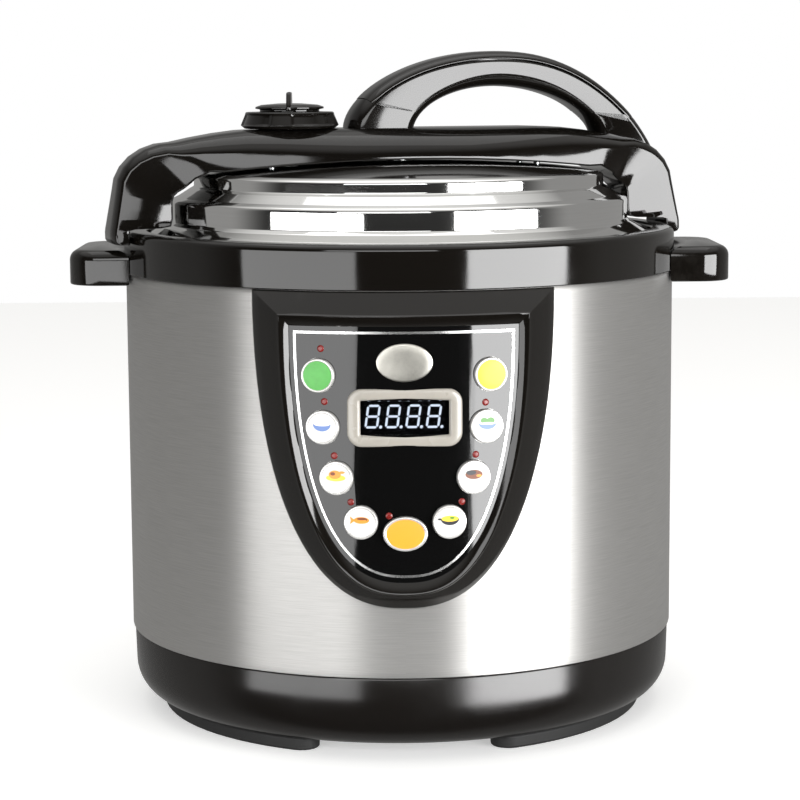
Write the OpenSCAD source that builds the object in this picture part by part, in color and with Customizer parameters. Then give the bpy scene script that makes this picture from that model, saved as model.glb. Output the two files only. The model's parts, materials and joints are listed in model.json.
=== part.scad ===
// Electric pressure cooker: a brushed steel body on a black base, a bayonet lid under a
// bridge with a loop handle, a lift-out inner pot and a curved panel of press buttons.
// Millimetres. The origin is on the table at the centre of the body, +Z is up, -Y the front.

/* [Inner pot] */
// Outer radius of the inner pot
pot_r = 111; // [92:1:135]
// Depth of the inner pot, inside
pot_depth = 160; // [133:1:195]
// Wall of the inner pot
pot_wall = 1.6; // [1:0.1:2.5]
// Floor of the inner pot
pot_floor = 2.5; // [1.5:0.1:4]
// Outside radius of the pot's bottom corner
pot_corner = 20; // [12:1:30]
// Width of the pot's rim beyond its wall
pot_rim_w = 2.6; // [2:0.1:3]

/* [Body] */
// Height of the rubber feet below the base
foot_h = 6.5; // [4:0.5:12]
// Height of the black base
base_h = 35.5; // [30:0.5:45]
// Radius of the base's lower edge
base_round = 17; // [10:1:24]
// Wall of the base moulding
base_wall = 2.5; // [2:0.1:4]
// Thickness of the steel shell
shell_t = 0.8; // [0.5:0.1:1.5]
// Gap between the inner and the outer pot
pot_gap = 3.5; // [3.1:0.1:5]
// Wall of the outer pot
outer_pot_t = 2.5; // [2:0.1:4]
// Radial space between the outer pot and the shell
shell_gap = 22.2; // [20:0.1:30]
// Height from the top of the base to the underside of the inner pot
pot_lift_h = 38; // [34:0.5:48]
// Height of the black top ring
ring_h = 21; // [18:0.5:28]
// Thickness of the heating plate at its edge
heater_h = 20; // [16:0.5:22]

/* [Lid] */
// Thickness of the lid's steel
lid_t = 1.2; // [0.8:0.1:1.5]
// Height of the lid's polished wall
lid_wall_h = 10.5; // [8:0.5:16]
// Rise of the shoulder above the wall
shoulder_h = 7; // [5:0.5:10]
// Height of the small step below the dome
step_h = 5; // [3:0.5:8]
// Rise of the shallow dome
dome_h = 6; // [4:0.5:12]
// Number of bayonet lugs
lug_n = 10; // [8:1:10]
// Angle that each lug covers
lug_arc = 15; // [10:0.5:16]

/* [Bridge and handle] */
// Angle of the open lid's bridge from the side handles
arm_angle = 15; // [0:1:25]
// Half the bridge's width at the middle
arm_mid_w = 32; // [26:1:38]
// Half the bridge's width at its legs
arm_end_w = 9; // [6:1:16]
// Height of the bridge's top above the lid
arm_rise = 16; // [14:0.5:22]
// Wall of the bridge moulding
arm_wall = 3.5; // [2.5:0.1:5]
// Height of the handle's arch above the bridge
handle_rise = 38.4; // [32:0.5:50]
// Width of the handle
handle_w = 28; // [22:1:36]
// Thickness of the cap along the top of the handle
handle_cap_t = 4.5; // [3:0.1:6]

/* [Pressure valve] */
// Distance of the valve from the middle of the lid
valve_off = 57; // [50:1:64]
// Radius of the valve turret at its foot
turret_r = 24.8; // [22:0.1:28]
// Height of the valve turret
turret_h = 8.4; // [6:0.1:12]
// Radius of the valve knob's disc
knob_r = 17.3; // [15:0.1:20]
// Height of the knob's fin above the disc
fin_h = 5.8; // [4:0.1:9]
// Bore of the exhaust pipe
pipe_bore = 3.6; // [2.6:0.1:4.4]

/* [Side handles] */
// Reach of each side handle beyond the shell
grip_reach = 26.5; // [22:0.5:36]
// Half the length of each side handle
grip_half = 40; // [34:1:52]
// Height of each side handle
grip_h = 17.5; // [14:0.5:22]
// Wall of the side handles
grip_wall = 4; // [3:0.1:5]

/* [Control panel] */
// Half the width of the shield-shaped panel
panel_w = 70.5; // [66:0.5:80]
// Height of the shield-shaped panel
panel_h = 148; // [142:1:155]
// Depth of the panel's ridge in front of the shell
panel_d = 10.2; // [9:0.1:12]
// Depth of the label plate's face in front of the shell
plate_d = 7; // [6.6:0.1:8]
// Thickness of the label plate
plate_t = 1.5; // [1:0.1:1.8]
// Radius of the round buttons
button_r = 7.85; // [6.5:0.05:8.5]
// Height of the button caps above the label plate
button_h = 2.2; // [1.5:0.1:3]
// Travel of the buttons
button_travel = 0.8; // [0.4:0.1:1]
// Radius of the indicator lamps
led_r = 1.6; // [1.2:0.1:1.7]

/* [Hidden] */
$fn = 96;
eps = 0.5;

// Heights of the stack
base_top = foot_h + base_h;
pot_z = base_top + pot_lift_h;
rim_t = 1.6;
rim_top = pot_z + pot_floor + pot_depth + 1;
ring_over = 2;
ring_top = rim_top + ring_over;
ring_z = ring_top - ring_h;
lid_edge_z = ring_top - 2;
slope_h = 6;
wall_top = lid_edge_z + slope_h + lid_wall_h;
step_z = wall_top + shoulder_h;
dome_z = step_z + step_h + 2;
lid_top = dome_z + dome_h;
arm_top = lid_top + arm_rise;

// Radii of the stack
outer_pot_in = pot_r + pot_gap;
outer_pot_r = outer_pot_in + outer_pot_t;
shell_in = outer_pot_r + shell_gap;
shell_r = shell_in + shell_t;
base_r = shell_r - 1.2;
ring_r = shell_r + 0.8;
skirt_r = outer_pot_r + 10.6;
ring_in = skirt_r + 1.4;
lid_wall_r = outer_pot_r;
lid_step_r = lid_wall_r - 12.2;
dome_r = lid_step_r - 2.8;

// A ring of rectangular section
module tube(r_out, r_in, h, z = 0) {
  translate([0, 0, z])
  difference() {
    cylinder(r = r_out, h = h);
    translate([0, 0, -eps])
    cylinder(r = r_in, h = h + 2 * eps);
  }
}

// Children repeated n times round the axis
module around(n, start = 0) {
  for (i = [0 : n - 1]) rotate([0, 0, start + i * 360 / n]) children();
}

// Children set at a place along (t) and across (s) the bridge
module on_arm(t, s = 0) {
  rotate([0, 0, arm_angle])
  translate([t, s, 0])
  children();
}

// Children stood on the curved front at radius r, facing outwards, with their place across the
// front measured on the label plate
module on_front(x, z, r) {
  rotate([0, 0, asin(x / plate_r)])
  translate([0, -r, z])
  rotate([90, 0, 0])
  children();
}

// A block with its corners rounded in plan
module pill_block(w, d, h, r) {
  linear_extrude(height = h)
  pill(w, d, r);
}

module pill(w, d, r) {
  square([w - 2 * r, d], center = true);
  square([w, d - 2 * r], center = true);
  for (x = [-1, 1], y = [-1, 1])
    translate([x * (w / 2 - r), y * (d / 2 - r)])
    circle(r = r);
}

// Points of an arc in the plane, from one angle to another
function arc(cx, cy, r, a0, a1, n) =
  [for (i = [0 : n]) let (a = a0 + (a1 - a0) * i / n) [cx + r * cos(a), cy + r * sin(a)]];

module ellipse(w, h, n = 48) {
  polygon([for (i = [0 : n - 1]) [w / 2 * cos(i * 360 / n), h / 2 * sin(i * 360 / n)]]);
}

// A round wire swept along a list of points, as one closed surface
function unit(v) = v / norm(v);
function sweep_ring(p, d, r, n) =
  let (side = unit(cross(d, abs(d[2]) > 0.9 * norm(d) ? [1, 0, 0] : [0, 0, 1])),
       up = unit(cross(side, d)))
  [for (i = [0 : n - 1]) p + r * (cos(i * 360 / n) * side + sin(i * 360 / n) * up)];
module wire(path, r, n = 8) {
  last = len(path) - 1;
  points = [for (i = [0 : last])
    each sweep_ring(path[i], path[min(i + 1, last)] - path[max(i - 1, 0)], r, n)];
  sides = [for (i = [0 : last - 1], k = [0 : n - 1])
    let (a = i * n + k, b = i * n + (k + 1) % n)
    each [[a, b, b + n], [a, b + n, a + n]]];
  ends = [[for (k = [n - 1 : -1 : 0]) k], [for (k = [0 : n - 1]) last * n + k]];
  polyhedron(points, concat(sides, ends));
}

// Base ------------------------------------------------------------------------------------

lip_h = 6;
cover_r = base_r - base_round - base_wall - 15;
cover_t = 1.5;
ledge_w = 12;

module base() {
  color([0.10, 0.09, 0.08])
  rotate_extrude()
  polygon(concat(
    [[cover_r + 0.4, foot_h]],
    arc(base_r - base_round, foot_h + base_round, base_round, -90, 0, 12),
    [[base_r, base_top], [shell_in - 0.2, base_top], [shell_in - 0.2, base_top + lip_h],
     [shell_in - base_wall, base_top + lip_h], [shell_in - base_wall, base_top - lip_h],
     [base_r - base_wall, base_top - 2 * lip_h]],
    arc(base_r - base_round, foot_h + base_round, base_round - base_wall, 0, -90, 12),
    [[cover_r - ledge_w, foot_h + cover_t + base_wall], [cover_r - ledge_w, foot_h + cover_t],
     [cover_r + 0.4, foot_h + cover_t]]));
}

vent_n = 5;
screw_pcr = cover_r - ledge_w / 2;

module base_plate() {
  color([0.62, 0.62, 0.63])
  difference() {
    translate([0, 0, foot_h])
    cylinder(r = cover_r, h = cover_t);
    for (x = [-1, 1], i = [0 : vent_n - 1])
      translate([x * 30, (i - (vent_n - 1) / 2) * 14, foot_h - eps])
      pill_block(40, 4, cover_t + 2 * eps, 1.9);
    around(4, 45)
    translate([screw_pcr, 0, foot_h - eps])
    cylinder(r = 1.8, h = cover_t + 2 * eps);
  }
}

foot_mid = 37.3;
foot_half = 27;
foot_in = base_r - base_round - 15;
foot_out = base_r - base_round + 2.5;

foot_end_r = (foot_out - foot_in) / 2;
foot_ring_r = (foot_out + foot_in) / 2;

// Outline of one arc-shaped pad with round ends, from its inner edge round to its outer edge
function foot_end(a, from, to) =
  arc(foot_ring_r * cos(a), foot_ring_r * sin(a), foot_end_r, from, to, 8);
function foot_outline(m) = let (a = m - foot_half, b = m + foot_half) concat(
  arc(0, 0, foot_out, a, b, 14),
  foot_end(b, b + 20, b + 160),
  arc(0, 0, foot_in, b, a, 14),
  foot_end(a, a + 200, a + 340));

module feet() {
  color([0.06, 0.06, 0.06])
  for (m = [foot_mid, 180 - foot_mid, 180 + foot_mid, 360 - foot_mid])
    linear_extrude(height = foot_h)
    polygon(foot_outline(m));
}

module screw(head_r, head_h, shank_r, length) {
  difference() {
    cylinder(r = head_r, h = head_h);
    translate([-head_r, -0.4, -eps])
    cube([2 * head_r, 0.8, eps + head_h / 2]);
  }
  cylinder(r = shank_r, h = length);
}

module base_screws() {
  color([0.7, 0.7, 0.7])
  around(4, 45)
  translate([screw_pcr, 0, foot_h - 1.8])
  screw(3.2, 1.8, 1.6, 3.2);
}

// Shell, top ring and side handles ---------------------------------------------------------

// Half outline of the shield: full width at the top, drawn in to a round point
shield_n = 18;
function shield_x(w, s) = w * pow(max(1 - pow(s, 2.2), 0), 0.4);
function shield_side(w, top, h, sign) =
  [for (i = [0 : shield_n]) let (s = sin(90 * i / shield_n)) [sign * shield_x(w, s), top - h * s]];
module shield(w, top, h) {
  right = shield_side(w, top, h, 1);
  left = shield_side(w, top, h, -1);
  polygon(concat(right, [for (i = [shield_n - 1 : -1 : 0]) left[i]]));
}

// The part of a ring between two radii that lies behind a shield outline
module shield_slab(w, top, h, r_in, r_out) {
  intersection() {
    tube(r_out, r_in, ring_z, 0);
    rotate([90, 0, 0])
    linear_extrude(height = 2 * shell_r)
    shield(w, top, h);
  }
}

panel_top = ring_z - 0.3;
ridge_w = panel_w - 12.5;
ridge_top = panel_top - 10.5;
ridge_h = panel_h - 18.5;
border_w = ridge_w - 7;
border_top = ridge_top - 7.3;
border_h = ridge_h - 15;
plate_r = shell_r + plate_d;
ridge_r = shell_r + panel_d;

inlet_z = base_top + 24;
inlet_w = 50;
inlet_h = 26;
inlet_screw_x = 20;

module steel_shell() {
  color([0.72, 0.72, 0.72])
  difference() {
    tube(shell_r, shell_in, ring_z - base_top - 0.2, base_top + 0.1);
    rotate([90, 0, 0])
    linear_extrude(height = 2 * shell_r)
    shield(ridge_w - 2, ridge_top - 2, ridge_h - 4);
    translate([0, shell_r, inlet_z])
    cube([inlet_w - 18, 40, inlet_h - 6], center = true);
    for (s = [-1, 1])
      translate([s * inlet_screw_x, shell_r + 5, inlet_z])
      rotate([90, 0, 0])
      cylinder(r = 1.9, h = 20);
  }
}

lip_t = 2.5;
floor_top = ring_z + lip_t;
spout_y = shell_r + 6;
grip_in = ring_r + 2.6;
ear_d = 14;
ear_h = 10;
ear_half = grip_half - 16;
ear_z = ring_z + 1 + ear_h / 2;
ear_gap = 0.2;

module top_ring() {
  color([0.10, 0.09, 0.08])
  difference() {
    union() {
      rotate_extrude()
      polygon([[outer_pot_r + 1, ring_z], [ring_r, ring_z], [ring_r, ring_top - 1.5],
        [ring_r - 1.5, ring_top], [ring_in, ring_top], [ring_in, floor_top],
        [outer_pot_r + 1, floor_top]]);
      for (x = [-1, 1])
        difference() {
          translate([x * (grip_in - ear_d / 2), 0, ear_z])
          cube([ear_d, 2 * ear_half, ear_h], center = true);
          cylinder(r = ring_r - 1.5, h = ring_top);
        }
      translate([-8, ring_r - 6, ring_z - 10])
      cube([16, spout_y + 5 - ring_r + 6, 10 + lip_t]);
    }
    rotate_extrude()
    polygon([[ring_in + 3, ring_z - eps], [ring_r - 3, ring_z - eps],
      [ring_r - 3, ring_top - 3], [ring_in + 3, ring_top - 3]]);
    translate([0, 0, ring_z - 10 - eps])
    difference() {
      cylinder(r = shell_r + 0.3, h = 10 + eps);
      translate([0, 0, -eps])
      cylinder(r = ring_in, h = 10 + 3 * eps);
    }
    translate([0, spout_y, ring_z - 10 - eps])
    cylinder(r = 2.6, h = 10);
    translate([-2.5, ring_in - 4, ring_z + 0.6])
    cube([5, spout_y - ring_in + 4, lip_t + 2]);
  }
}

grip_z = ring_z - 5.5;
grip_out = shell_r + grip_reach;
grip_corner = 16;

module side_handle() {
  color([0.10, 0.09, 0.08])
  difference() {
    intersection() {
      translate([ring_r - grip_half / 2, -grip_half, grip_z])
      cube([grip_out - ring_r + grip_half / 2, 2 * grip_half, grip_h]);
      translate([grip_out - 40, 0, grip_z])
      pill_block(80, 2 * grip_half, grip_h, grip_corner);
    }
    cylinder(r = ring_r + ear_gap, h = ring_top);
    translate([grip_in - ear_d / 2, 0, ear_z])
    cube([ear_d, 2 * (ear_half + ear_gap), ear_h + 2 * ear_gap], center = true);
    translate([grip_out - grip_wall - 40, 0, grip_z - eps])
    intersection() {
      pill_block(80, 2 * (grip_half - grip_wall), grip_h - grip_wall, grip_corner - grip_wall);
      translate([40 - (grip_out - grip_in) + 2 * grip_wall, -grip_half, 0])
      cube([80, 2 * grip_half, grip_h]);
    }
  }
}

module side_handle_left() {
  mirror([1, 0, 0])
  side_handle();
}

module side_handle_right() {
  side_handle();
}

// Outer pot, heater and sensor ---------------------------------------------------------------

outer_pot_z = base_top + 8;
lug_t = 3.3;
lug_z = rim_top - 3.2 - lug_t;
lug_in = outer_pot_r + 2.5;
lug_out = outer_pot_r + 7.4;
heater_r = pot_r - 11;
heater_top = pot_z - 0.4;
sensor_r = 15;

// One lug of a bayonet ring, centred on +X
module lug(r_in, r_out, h, z) {
  rotate([0, 0, -lug_arc / 2])
  rotate_extrude(angle = lug_arc)
  translate([r_in, z])
  square([r_out - r_in, h]);
}

module outer_pot() {
  color([0.66, 0.66, 0.65])
  union() {
    difference() {
      rotate_extrude()
      polygon([[sensor_r + 8, outer_pot_z], [outer_pot_r, outer_pot_z],
        [outer_pot_r, floor_top], [outer_pot_r + 7, floor_top],
        [outer_pot_r + 7, floor_top + 2], [outer_pot_r, floor_top + 2],
        [outer_pot_r, lug_z + lug_t + 0.4], [outer_pot_in, lug_z + lug_t + 0.4],
        [outer_pot_in, outer_pot_z + 2], [sensor_r + 8, outer_pot_z + 2]]);
      for (s = [-1, 1])
        translate([s * terminal_x, 0, outer_pot_z - eps])
        cylinder(r = 6, h = 2 + 2 * eps);
    }
    around(lug_n)
    lug(outer_pot_in + 1, lug_out, lug_t, lug_z);
  }
}

module heat_shield() {
  color([0.8, 0.8, 0.82])
  tube(outer_pot_r + 2.4, outer_pot_r + 2, ring_z - outer_pot_z - 20, outer_pot_z + 5);
}

post_pcr = heater_r - 18;
terminal_x = heater_r - 40;
heater_z = heater_top - heater_h;

module heating_plate() {
  color([0.75, 0.75, 0.74])
  difference() {
    union() {
      rotate_extrude()
      polygon([[sensor_r, heater_z + 6], [heater_r - 24, heater_z + 6], [heater_r - 20, heater_z],
        [heater_r - 6, heater_z], [heater_r, heater_z + 8], [heater_r, heater_top - 1.5],
        [heater_r - 3, heater_top], [sensor_r, heater_top]]);
      around(3, 90)
      translate([post_pcr, 0, outer_pot_z + 2])
      cylinder(r = 5, h = heater_z - outer_pot_z);
    }
    translate([0, 0, heater_z - eps])
    cylinder(r = sensor_r, h = heater_h + 2 * eps);
  }
}

module heater_terminals() {
  color([0.85, 0.72, 0.4])
  for (s = [-1, 1])
    translate([s * terminal_x, 0, outer_pot_z - 6]) {
      cylinder(r = 3.5, h = heater_z + 6 - outer_pot_z + 6);
      translate([-0.4, -3, -6])
      cube([0.8, 6, 7]);
    }
}

sensor_h = 9;
spring_turns = 5;
spring_r = 8;
spring_wire = 0.7;
seat_z = outer_pot_z - 6;
cap_bottom = heater_top - sensor_h;

module sensor_cap() {
  color([0.82, 0.82, 0.83])
  union() {
    translate([0, 0, cap_bottom])
    cylinder(r = sensor_r - 1, h = sensor_h + 0.1);
    translate([0, 0, cap_bottom - 6])
    cylinder(r = spring_r - 2, h = 6 + eps);
  }
}

spring_path = [for (i = [0 : spring_turns * 12])
  [spring_r * cos(i * 30), spring_r * sin(i * 30),
   seat_z + 1.5 + (cap_bottom - seat_z - 2.5 - spring_wire) * i / (spring_turns * 12)]];

module sensor_spring() {
  color([0.7, 0.7, 0.72])
  wire(spring_path, spring_wire, 8);
}

module pressure_switch() {
  color([0.85, 0.83, 0.78])
  union() {
    translate([0, 0, seat_z - 2])
    cylinder(r = sensor_r + 6, h = 2.4);
    translate([0, 0, seat_z - 8])
    cylinder(r = 5, h = 7);
    translate([-16, 24, outer_pot_z - 10])
    cube([32, 14, 10]);
    translate([-8, 10, seat_z - 2])
    cube([16, 20, 2]);
  }
}

// Boards, wiring and inlet -------------------------------------------------------------------

board_z = foot_h + cover_t + base_wall + 4;
board_w = 104;
board_d = 62;
board_y = 4;

module power_board() {
  color([0.12, 0.36, 0.2])
  difference() {
    union() {
      translate([-board_w / 2, board_y - board_d / 2, board_z])
      cube([board_w, board_d, 1.6]);
      for (x = [-1, 1], y = [-1, 1])
        translate([x * (board_w / 2 - 6), board_y + y * (board_d / 2 - 6), foot_h + cover_t])
        cylinder(r = 3, h = board_z - foot_h - cover_t + 0.2);
    }
    for (x = [-1, 1], y = [-1, 1])
      translate([x * (board_w / 2 - 6), board_y + y * (board_d / 2 - 6), board_z - 2])
      cylinder(r = 1.4, h = 6);
  }
}

part_z = board_z + 1.6;

module board_parts() {
  color([0.15, 0.25, 0.55])
  union() {
    translate([-45, board_y - 22, part_z])
    cube([30, 25, 14]);
    translate([-8, board_y - 24, part_z])
    cube([19, 15, 15]);
    translate([28, board_y - 12, part_z])
    cylinder(r = 8, h = 16);
    translate([-20, board_y + 15, part_z])
    cube([26, 7, 12]);
    translate([14, board_y + 12, part_z])
    cube([22, 6, 7]);
  }
}

wire_r = 1.3;
lead_low = board_z + 8;
inlet_back = outer_pot_r + 7;

module wiring() {
  color([0.75, 0.1, 0.1])
  union() {
    for (s = [-1, 1])
      wire([[s * terminal_x, 0, outer_pot_z - 12], [s * terminal_x, 2, outer_pot_z - 16],
        [s * (terminal_x - 3), 8, lead_low + 6], [s * (terminal_x - 4), 18, lead_low],
        [s * (terminal_x - 8), 42, lead_low], [s * 22, 70, lead_low + 1],
        [s * 9, outer_pot_r - 15, lead_low + 6], [s * 7, outer_pot_r - 2, outer_pot_z - 9],
        [s * 7, outer_pot_r + 4.5, outer_pot_z - 2], [s * 7, outer_pot_r + 5.4, outer_pot_z + 5],
        [s * 7, outer_pot_r + 5.4, inlet_z - pin_h]], wire_r);
    wire([[0, board_y - board_d / 2 - 1, part_z + 3], [0, -60, part_z + 4],
      [0, 22 - outer_pot_r, part_z + 6], [0, 2 - outer_pot_r, part_z + 14],
      [0, -5.5 - outer_pot_r, outer_pot_z - 8], [0, -7 - outer_pot_r, outer_pot_z + 8],
      [0, -7.6 - outer_pot_r, panel_bottom + 12], [0, 2 * wire_r + 1.7 - board_front, panel_bottom + 30]],
      2 * wire_r);
  }
}

block_front = shell_r + 3;
socket_w = 24.6;
socket_h = 16.6;
socket_d = block_front - inlet_back - 2;

module power_inlet() {
  color([0.05, 0.05, 0.05])
  difference() {
    union() {
      difference() {
        translate([0, block_front - 5, inlet_z])
        cube([inlet_w, 10, inlet_h], center = true);
        translate([0, 0, inlet_z - inlet_h])
        cylinder(r = shell_r + 0.1, h = 2 * inlet_h);
      }
      translate([0, (block_front + inlet_back) / 2, inlet_z])
      cube([socket_w + 5, block_front - inlet_back, socket_h + 3], center = true);
    }
    translate([0, block_front - socket_d / 2 + eps, inlet_z])
    cube([socket_w, socket_d + 2 * eps, socket_h], center = true);
    for (s = [-1, 1])
      translate([s * inlet_screw_x, block_front + eps, inlet_z])
      rotate([90, 0, 0])
      cylinder(r = 1.7, h = 12);
    pin_blocks(0.05);
  }
}

pin_w = 2;
pin_h = 4;
pins = [[-7, 2], [7, 2], [0, -2]];

// The three contact pins, grown by a margin where they pass through the socket's floor
module pin_blocks(grow = 0) {
  for (p = pins)
    translate([p[0], inlet_back - 3 + (socket_d + 2) / 2, inlet_z - p[1]])
    cube([pin_w + 2 * grow, socket_d + 2 + 2 * grow, pin_h + 2 * grow], center = true);
}

module inlet_pins() {
  color([0.82, 0.7, 0.4])
  pin_blocks();
}

module inlet_screws() {
  color([0.7, 0.7, 0.7])
  for (s = [-1, 1])
    translate([s * inlet_screw_x, block_front + 1.8, inlet_z])
    rotate([90, 0, 0])
    screw(3.2, 1.8, 1.6, 7);
}

// Control panel -------------------------------------------------------------------------------

panel_bottom = panel_top - panel_h;
board_front = outer_pot_r + 12.6;
display_z = panel_top - 57.6;
display_w = 53;
display_h = 26.8;
window_w = 40.5;
window_h = 15.5;
module_front = shell_r + 1;

// Each control as its place across, its height below the panel's top, and its lamp's place
buttons = [[-39.5, 38.2], [-37.6, 62.2], [-31.5, 85.7], [-20.4, 106.2], [0, 111.5],
  [20.3, 106.2], [31.5, 85.7], [37.6, 62.2], [39.5, 38.2]];
lamps = [[-38.4, 25.8], [-36.9, 50.3], [-32.6, 75.4], [-25.1, 96.9], [-7.5, 103.2],
  [26.2, 97.1], [32.7, 75.3], [37.3, 51.2]];
soup = 4;
button_gap = 0.25;
soup_w = 20.6;
soup_h = 16;

// The outline of a button, grown by a margin: the soup button is oval, the others are round
module button_prism(i, h, grow = 0) {
  if (i == soup)
    linear_extrude(height = h)
    ellipse(soup_w + 2 * grow, soup_h + 2 * grow);
  else
    cylinder(r = button_r + grow, h = h);
}

module control_bezel() {
  color([0.09, 0.08, 0.07])
  difference() {
    union() {
      shield_slab(panel_w, panel_top, panel_h, shell_r + 0.1, shell_r + 3);
      shield_slab(panel_w - 5, panel_top - 3, panel_h - 6, shell_r + 0.1, shell_r + 6.5);
      shield_slab(ridge_w + 2, ridge_top + 2, ridge_h + 4, shell_r + 0.1, ridge_r);
    }
    shield_slab(border_w + 3, border_top + 3, border_h + 6, plate_r - plate_t - 0.05, ridge_r + 2);
    shield_slab(border_w - 1, border_top - 1, border_h - 2, shell_r - 2, ridge_r);
  }
}

board_posts = [[-24, panel_top - 26], [24, panel_top - 26], [-12, panel_top - 86], [12, panel_top - 86]];
post_w = 2.4;

module label_plate() {
  color([0.05, 0.05, 0.05])
  difference() {
    shield_slab(border_w + 2.8, border_top + 2.8, border_h + 5.6, plate_r - plate_t, plate_r);
    for (i = [0 : len(buttons) - 1])
      on_front(buttons[i][0], panel_top - buttons[i][1], plate_r - 5)
      button_prism(i, 8, button_gap);
    for (l = lamps)
      on_front(l[0], panel_top - l[1], plate_r - 5)
      cylinder(r = led_r + 0.05, h = 8);
    on_front(0, display_z, plate_r - 8)
    linear_extrude(height = 14)
    square([window_w + 0.4, window_h + 0.4], center = true);
  }
  color([0.05, 0.05, 0.05])
  for (p = board_posts)
    translate([p[0], -board_front, p[1]])
    rotate([90, 0, 0])
    cylinder(r = post_w, h = sqrt(pow(plate_r - plate_t, 2) - pow(p[0], 2)) - board_front + 0.3);
}

trim_t = 0.25;
border_line = 1.2;

module border_trim() {
  color([0.85, 0.85, 0.86])
  difference() {
    shield_slab(border_w, border_top, border_h, plate_r + 0.02, plate_r + trim_t);
    shield_slab(border_w - border_line, border_top - border_line, border_h - 2 * border_line,
      plate_r - 1, plate_r + 2);
  }
}

badge_z = panel_top - 32.1;
badge_w = 26;
badge_h = 17.6;

// A piece of curved sheet cut by an outline pushed straight through it
module curved_cut(z, r_in, r_out) {
  intersection() {
    tube(r_out, r_in, ring_z, 0);
    translate([0, 0, z])
    rotate([90, 0, 0])
    linear_extrude(height = 2 * shell_r)
    children();
  }
}

module badge() {
  color([0.78, 0.77, 0.72])
  curved_cut(badge_z, plate_r + 0.02, plate_r + 0.9)
  ellipse(badge_w, badge_h);
}

module display_frame() {
  color([0.62, 0.60, 0.55])
  difference() {
    curved_cut(display_z, plate_r + 0.02, plate_r + 1.6)
    pill(display_w, display_h, 6.5);
    on_front(0, display_z, plate_r - 2)
    linear_extrude(height = 8)
    square([window_w, window_h], center = true);
  }
}

module display_window() {
  color([0.05, 0.05, 0.06, 0.6])
  curved_cut(display_z, plate_r - plate_t, plate_r)
  square([window_w, window_h], center = true);
}

digit_w = 5.6;
digit_h = 10.4;
digit_pitch = 9.4;
digit_lean = 8;
segment_w = 1.2;

module digit() {
  for (z = [0, digit_h / 2, digit_h])
    translate([-digit_w / 2 + segment_w * 0.7, z - segment_w / 2])
    square([digit_w - 1.4 * segment_w, segment_w]);
  for (x = [-1, 1], z = [0, 1])
    translate([x * digit_w / 2 - segment_w / 2, z * digit_h / 2 + segment_w * 0.65])
    square([segment_w, digit_h / 2 - 1.3 * segment_w]);
  translate([digit_w / 2 + 1.7, 0])
  circle(r = 0.7);
}

module display_digits() {
  color([0.9, 0.9, 0.95])
  for (i = [0 : 3])
    translate([(i - 1.5) * digit_pitch - 0.6, -module_front - 0.02, display_z - digit_h / 2])
    rotate([90, 0, 0])
    linear_extrude(height = 0.3)
    multmatrix([[1, tan(digit_lean), 0, 0], [0, 1, 0, 0], [0, 0, 1, 0]])
    digit();
}

module display_module() {
  color([0.08, 0.08, 0.08])
  translate([-window_w / 2 - 2, -module_front, display_z - window_h / 2 - 2])
  cube([window_w + 4, module_front - board_front - 1.6, window_h + 4]);
}

module indicator_lenses() {
  color([0.55, 0.08, 0.05])
  for (l = lamps)
    on_front(l[0], panel_top - l[1], plate_r - plate_t)
    cylinder(r = led_r, h = plate_t + 0.5);
}

sheet_r = shell_r - 1.1;
dome_t = 0.6;
dome_sw_r = 4;

module switch_sheet() {
  color([0.75, 0.75, 0.7])
  difference() {
    union() {
      intersection() {
        tube(sheet_r, sheet_r - 0.6, ring_z, 0);
        rotate([90, 0, 0])
        linear_extrude(height = 2 * shell_r)
        shield(ridge_w - 4, ridge_top - 4, ridge_h - 8);
      }
      for (b = buttons)
        on_front(b[0], panel_top - b[1], sheet_r - 0.1)
        cylinder(r = dome_sw_r, h = dome_t + 0.1);
    }
    for (p = board_posts)
      translate([p[0], 0, p[1]])
      rotate([90, 0, 0])
      cylinder(r = post_w + 0.6, h = 2 * shell_r);
    translate([0, -shell_r, display_z])
    cube([window_w + 6, 40, window_h + 6], center = true);
  }
}

module control_board() {
  color([0.12, 0.36, 0.2])
  union() {
    translate([-38, -board_front, panel_bottom + 22])
    cube([76, 1.6, ridge_top - 8 - panel_bottom - 22]);
    translate([-12, 1.5 - board_front, display_z - 40])
    cube([24, 4, 24]);
    translate([-30, 1.5 - board_front, display_z + 2])
    cube([14, 6, 20]);
  }
}

stem_r = 2.2;
flange_w = 1.1;
flange_t = 1;
cap_in = plate_r - plate_t - 0.8;

// One press button: a cap in the label plate, a flange behind it and a stem to its switch
module button(i, tint) {
  place = buttons[i];
  stem_in = sheet_r + dome_t + 0.3 + button_travel;
  color(tint)
  on_front(place[0], panel_top - place[1], stem_in)
  union() {
    cylinder(r = stem_r, h = cap_in - stem_in);
    translate([0, 0, cap_in - flange_t - stem_in])
    button_prism(i, flange_t, flange_w);
    translate([0, 0, cap_in - eps - stem_in])
    button_prism(i, plate_r + button_h - cap_in + eps);
  }
}

module button_green() { button(0, [0.35, 0.75, 0.35]); }
module button_rice() { button(1, [0.88, 0.87, 0.84]); }
module button_chicken() { button(2, [0.88, 0.87, 0.84]); }
module button_fish() { button(3, [0.88, 0.87, 0.84]); }
module button_soup() { button(4, [0.97, 0.65, 0.25]); }
module button_casserole() { button(5, [0.88, 0.87, 0.84]); }
module button_beef() { button(6, [0.88, 0.87, 0.84]); }
module button_vegetable() { button(7, [0.88, 0.87, 0.84]); }
module button_yellow() { button(8, [0.98, 0.92, 0.2]); }

// Drip cup ---------------------------------------------------------------------------------

cup_w = 56;
cup_h = 46;
cup_wall = 1.6;
cup_top = ring_z - 16;
cup_in = shell_r + 2.6;
cup_out = shell_r + 12.6;
rail_gap = 0.5;

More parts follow.
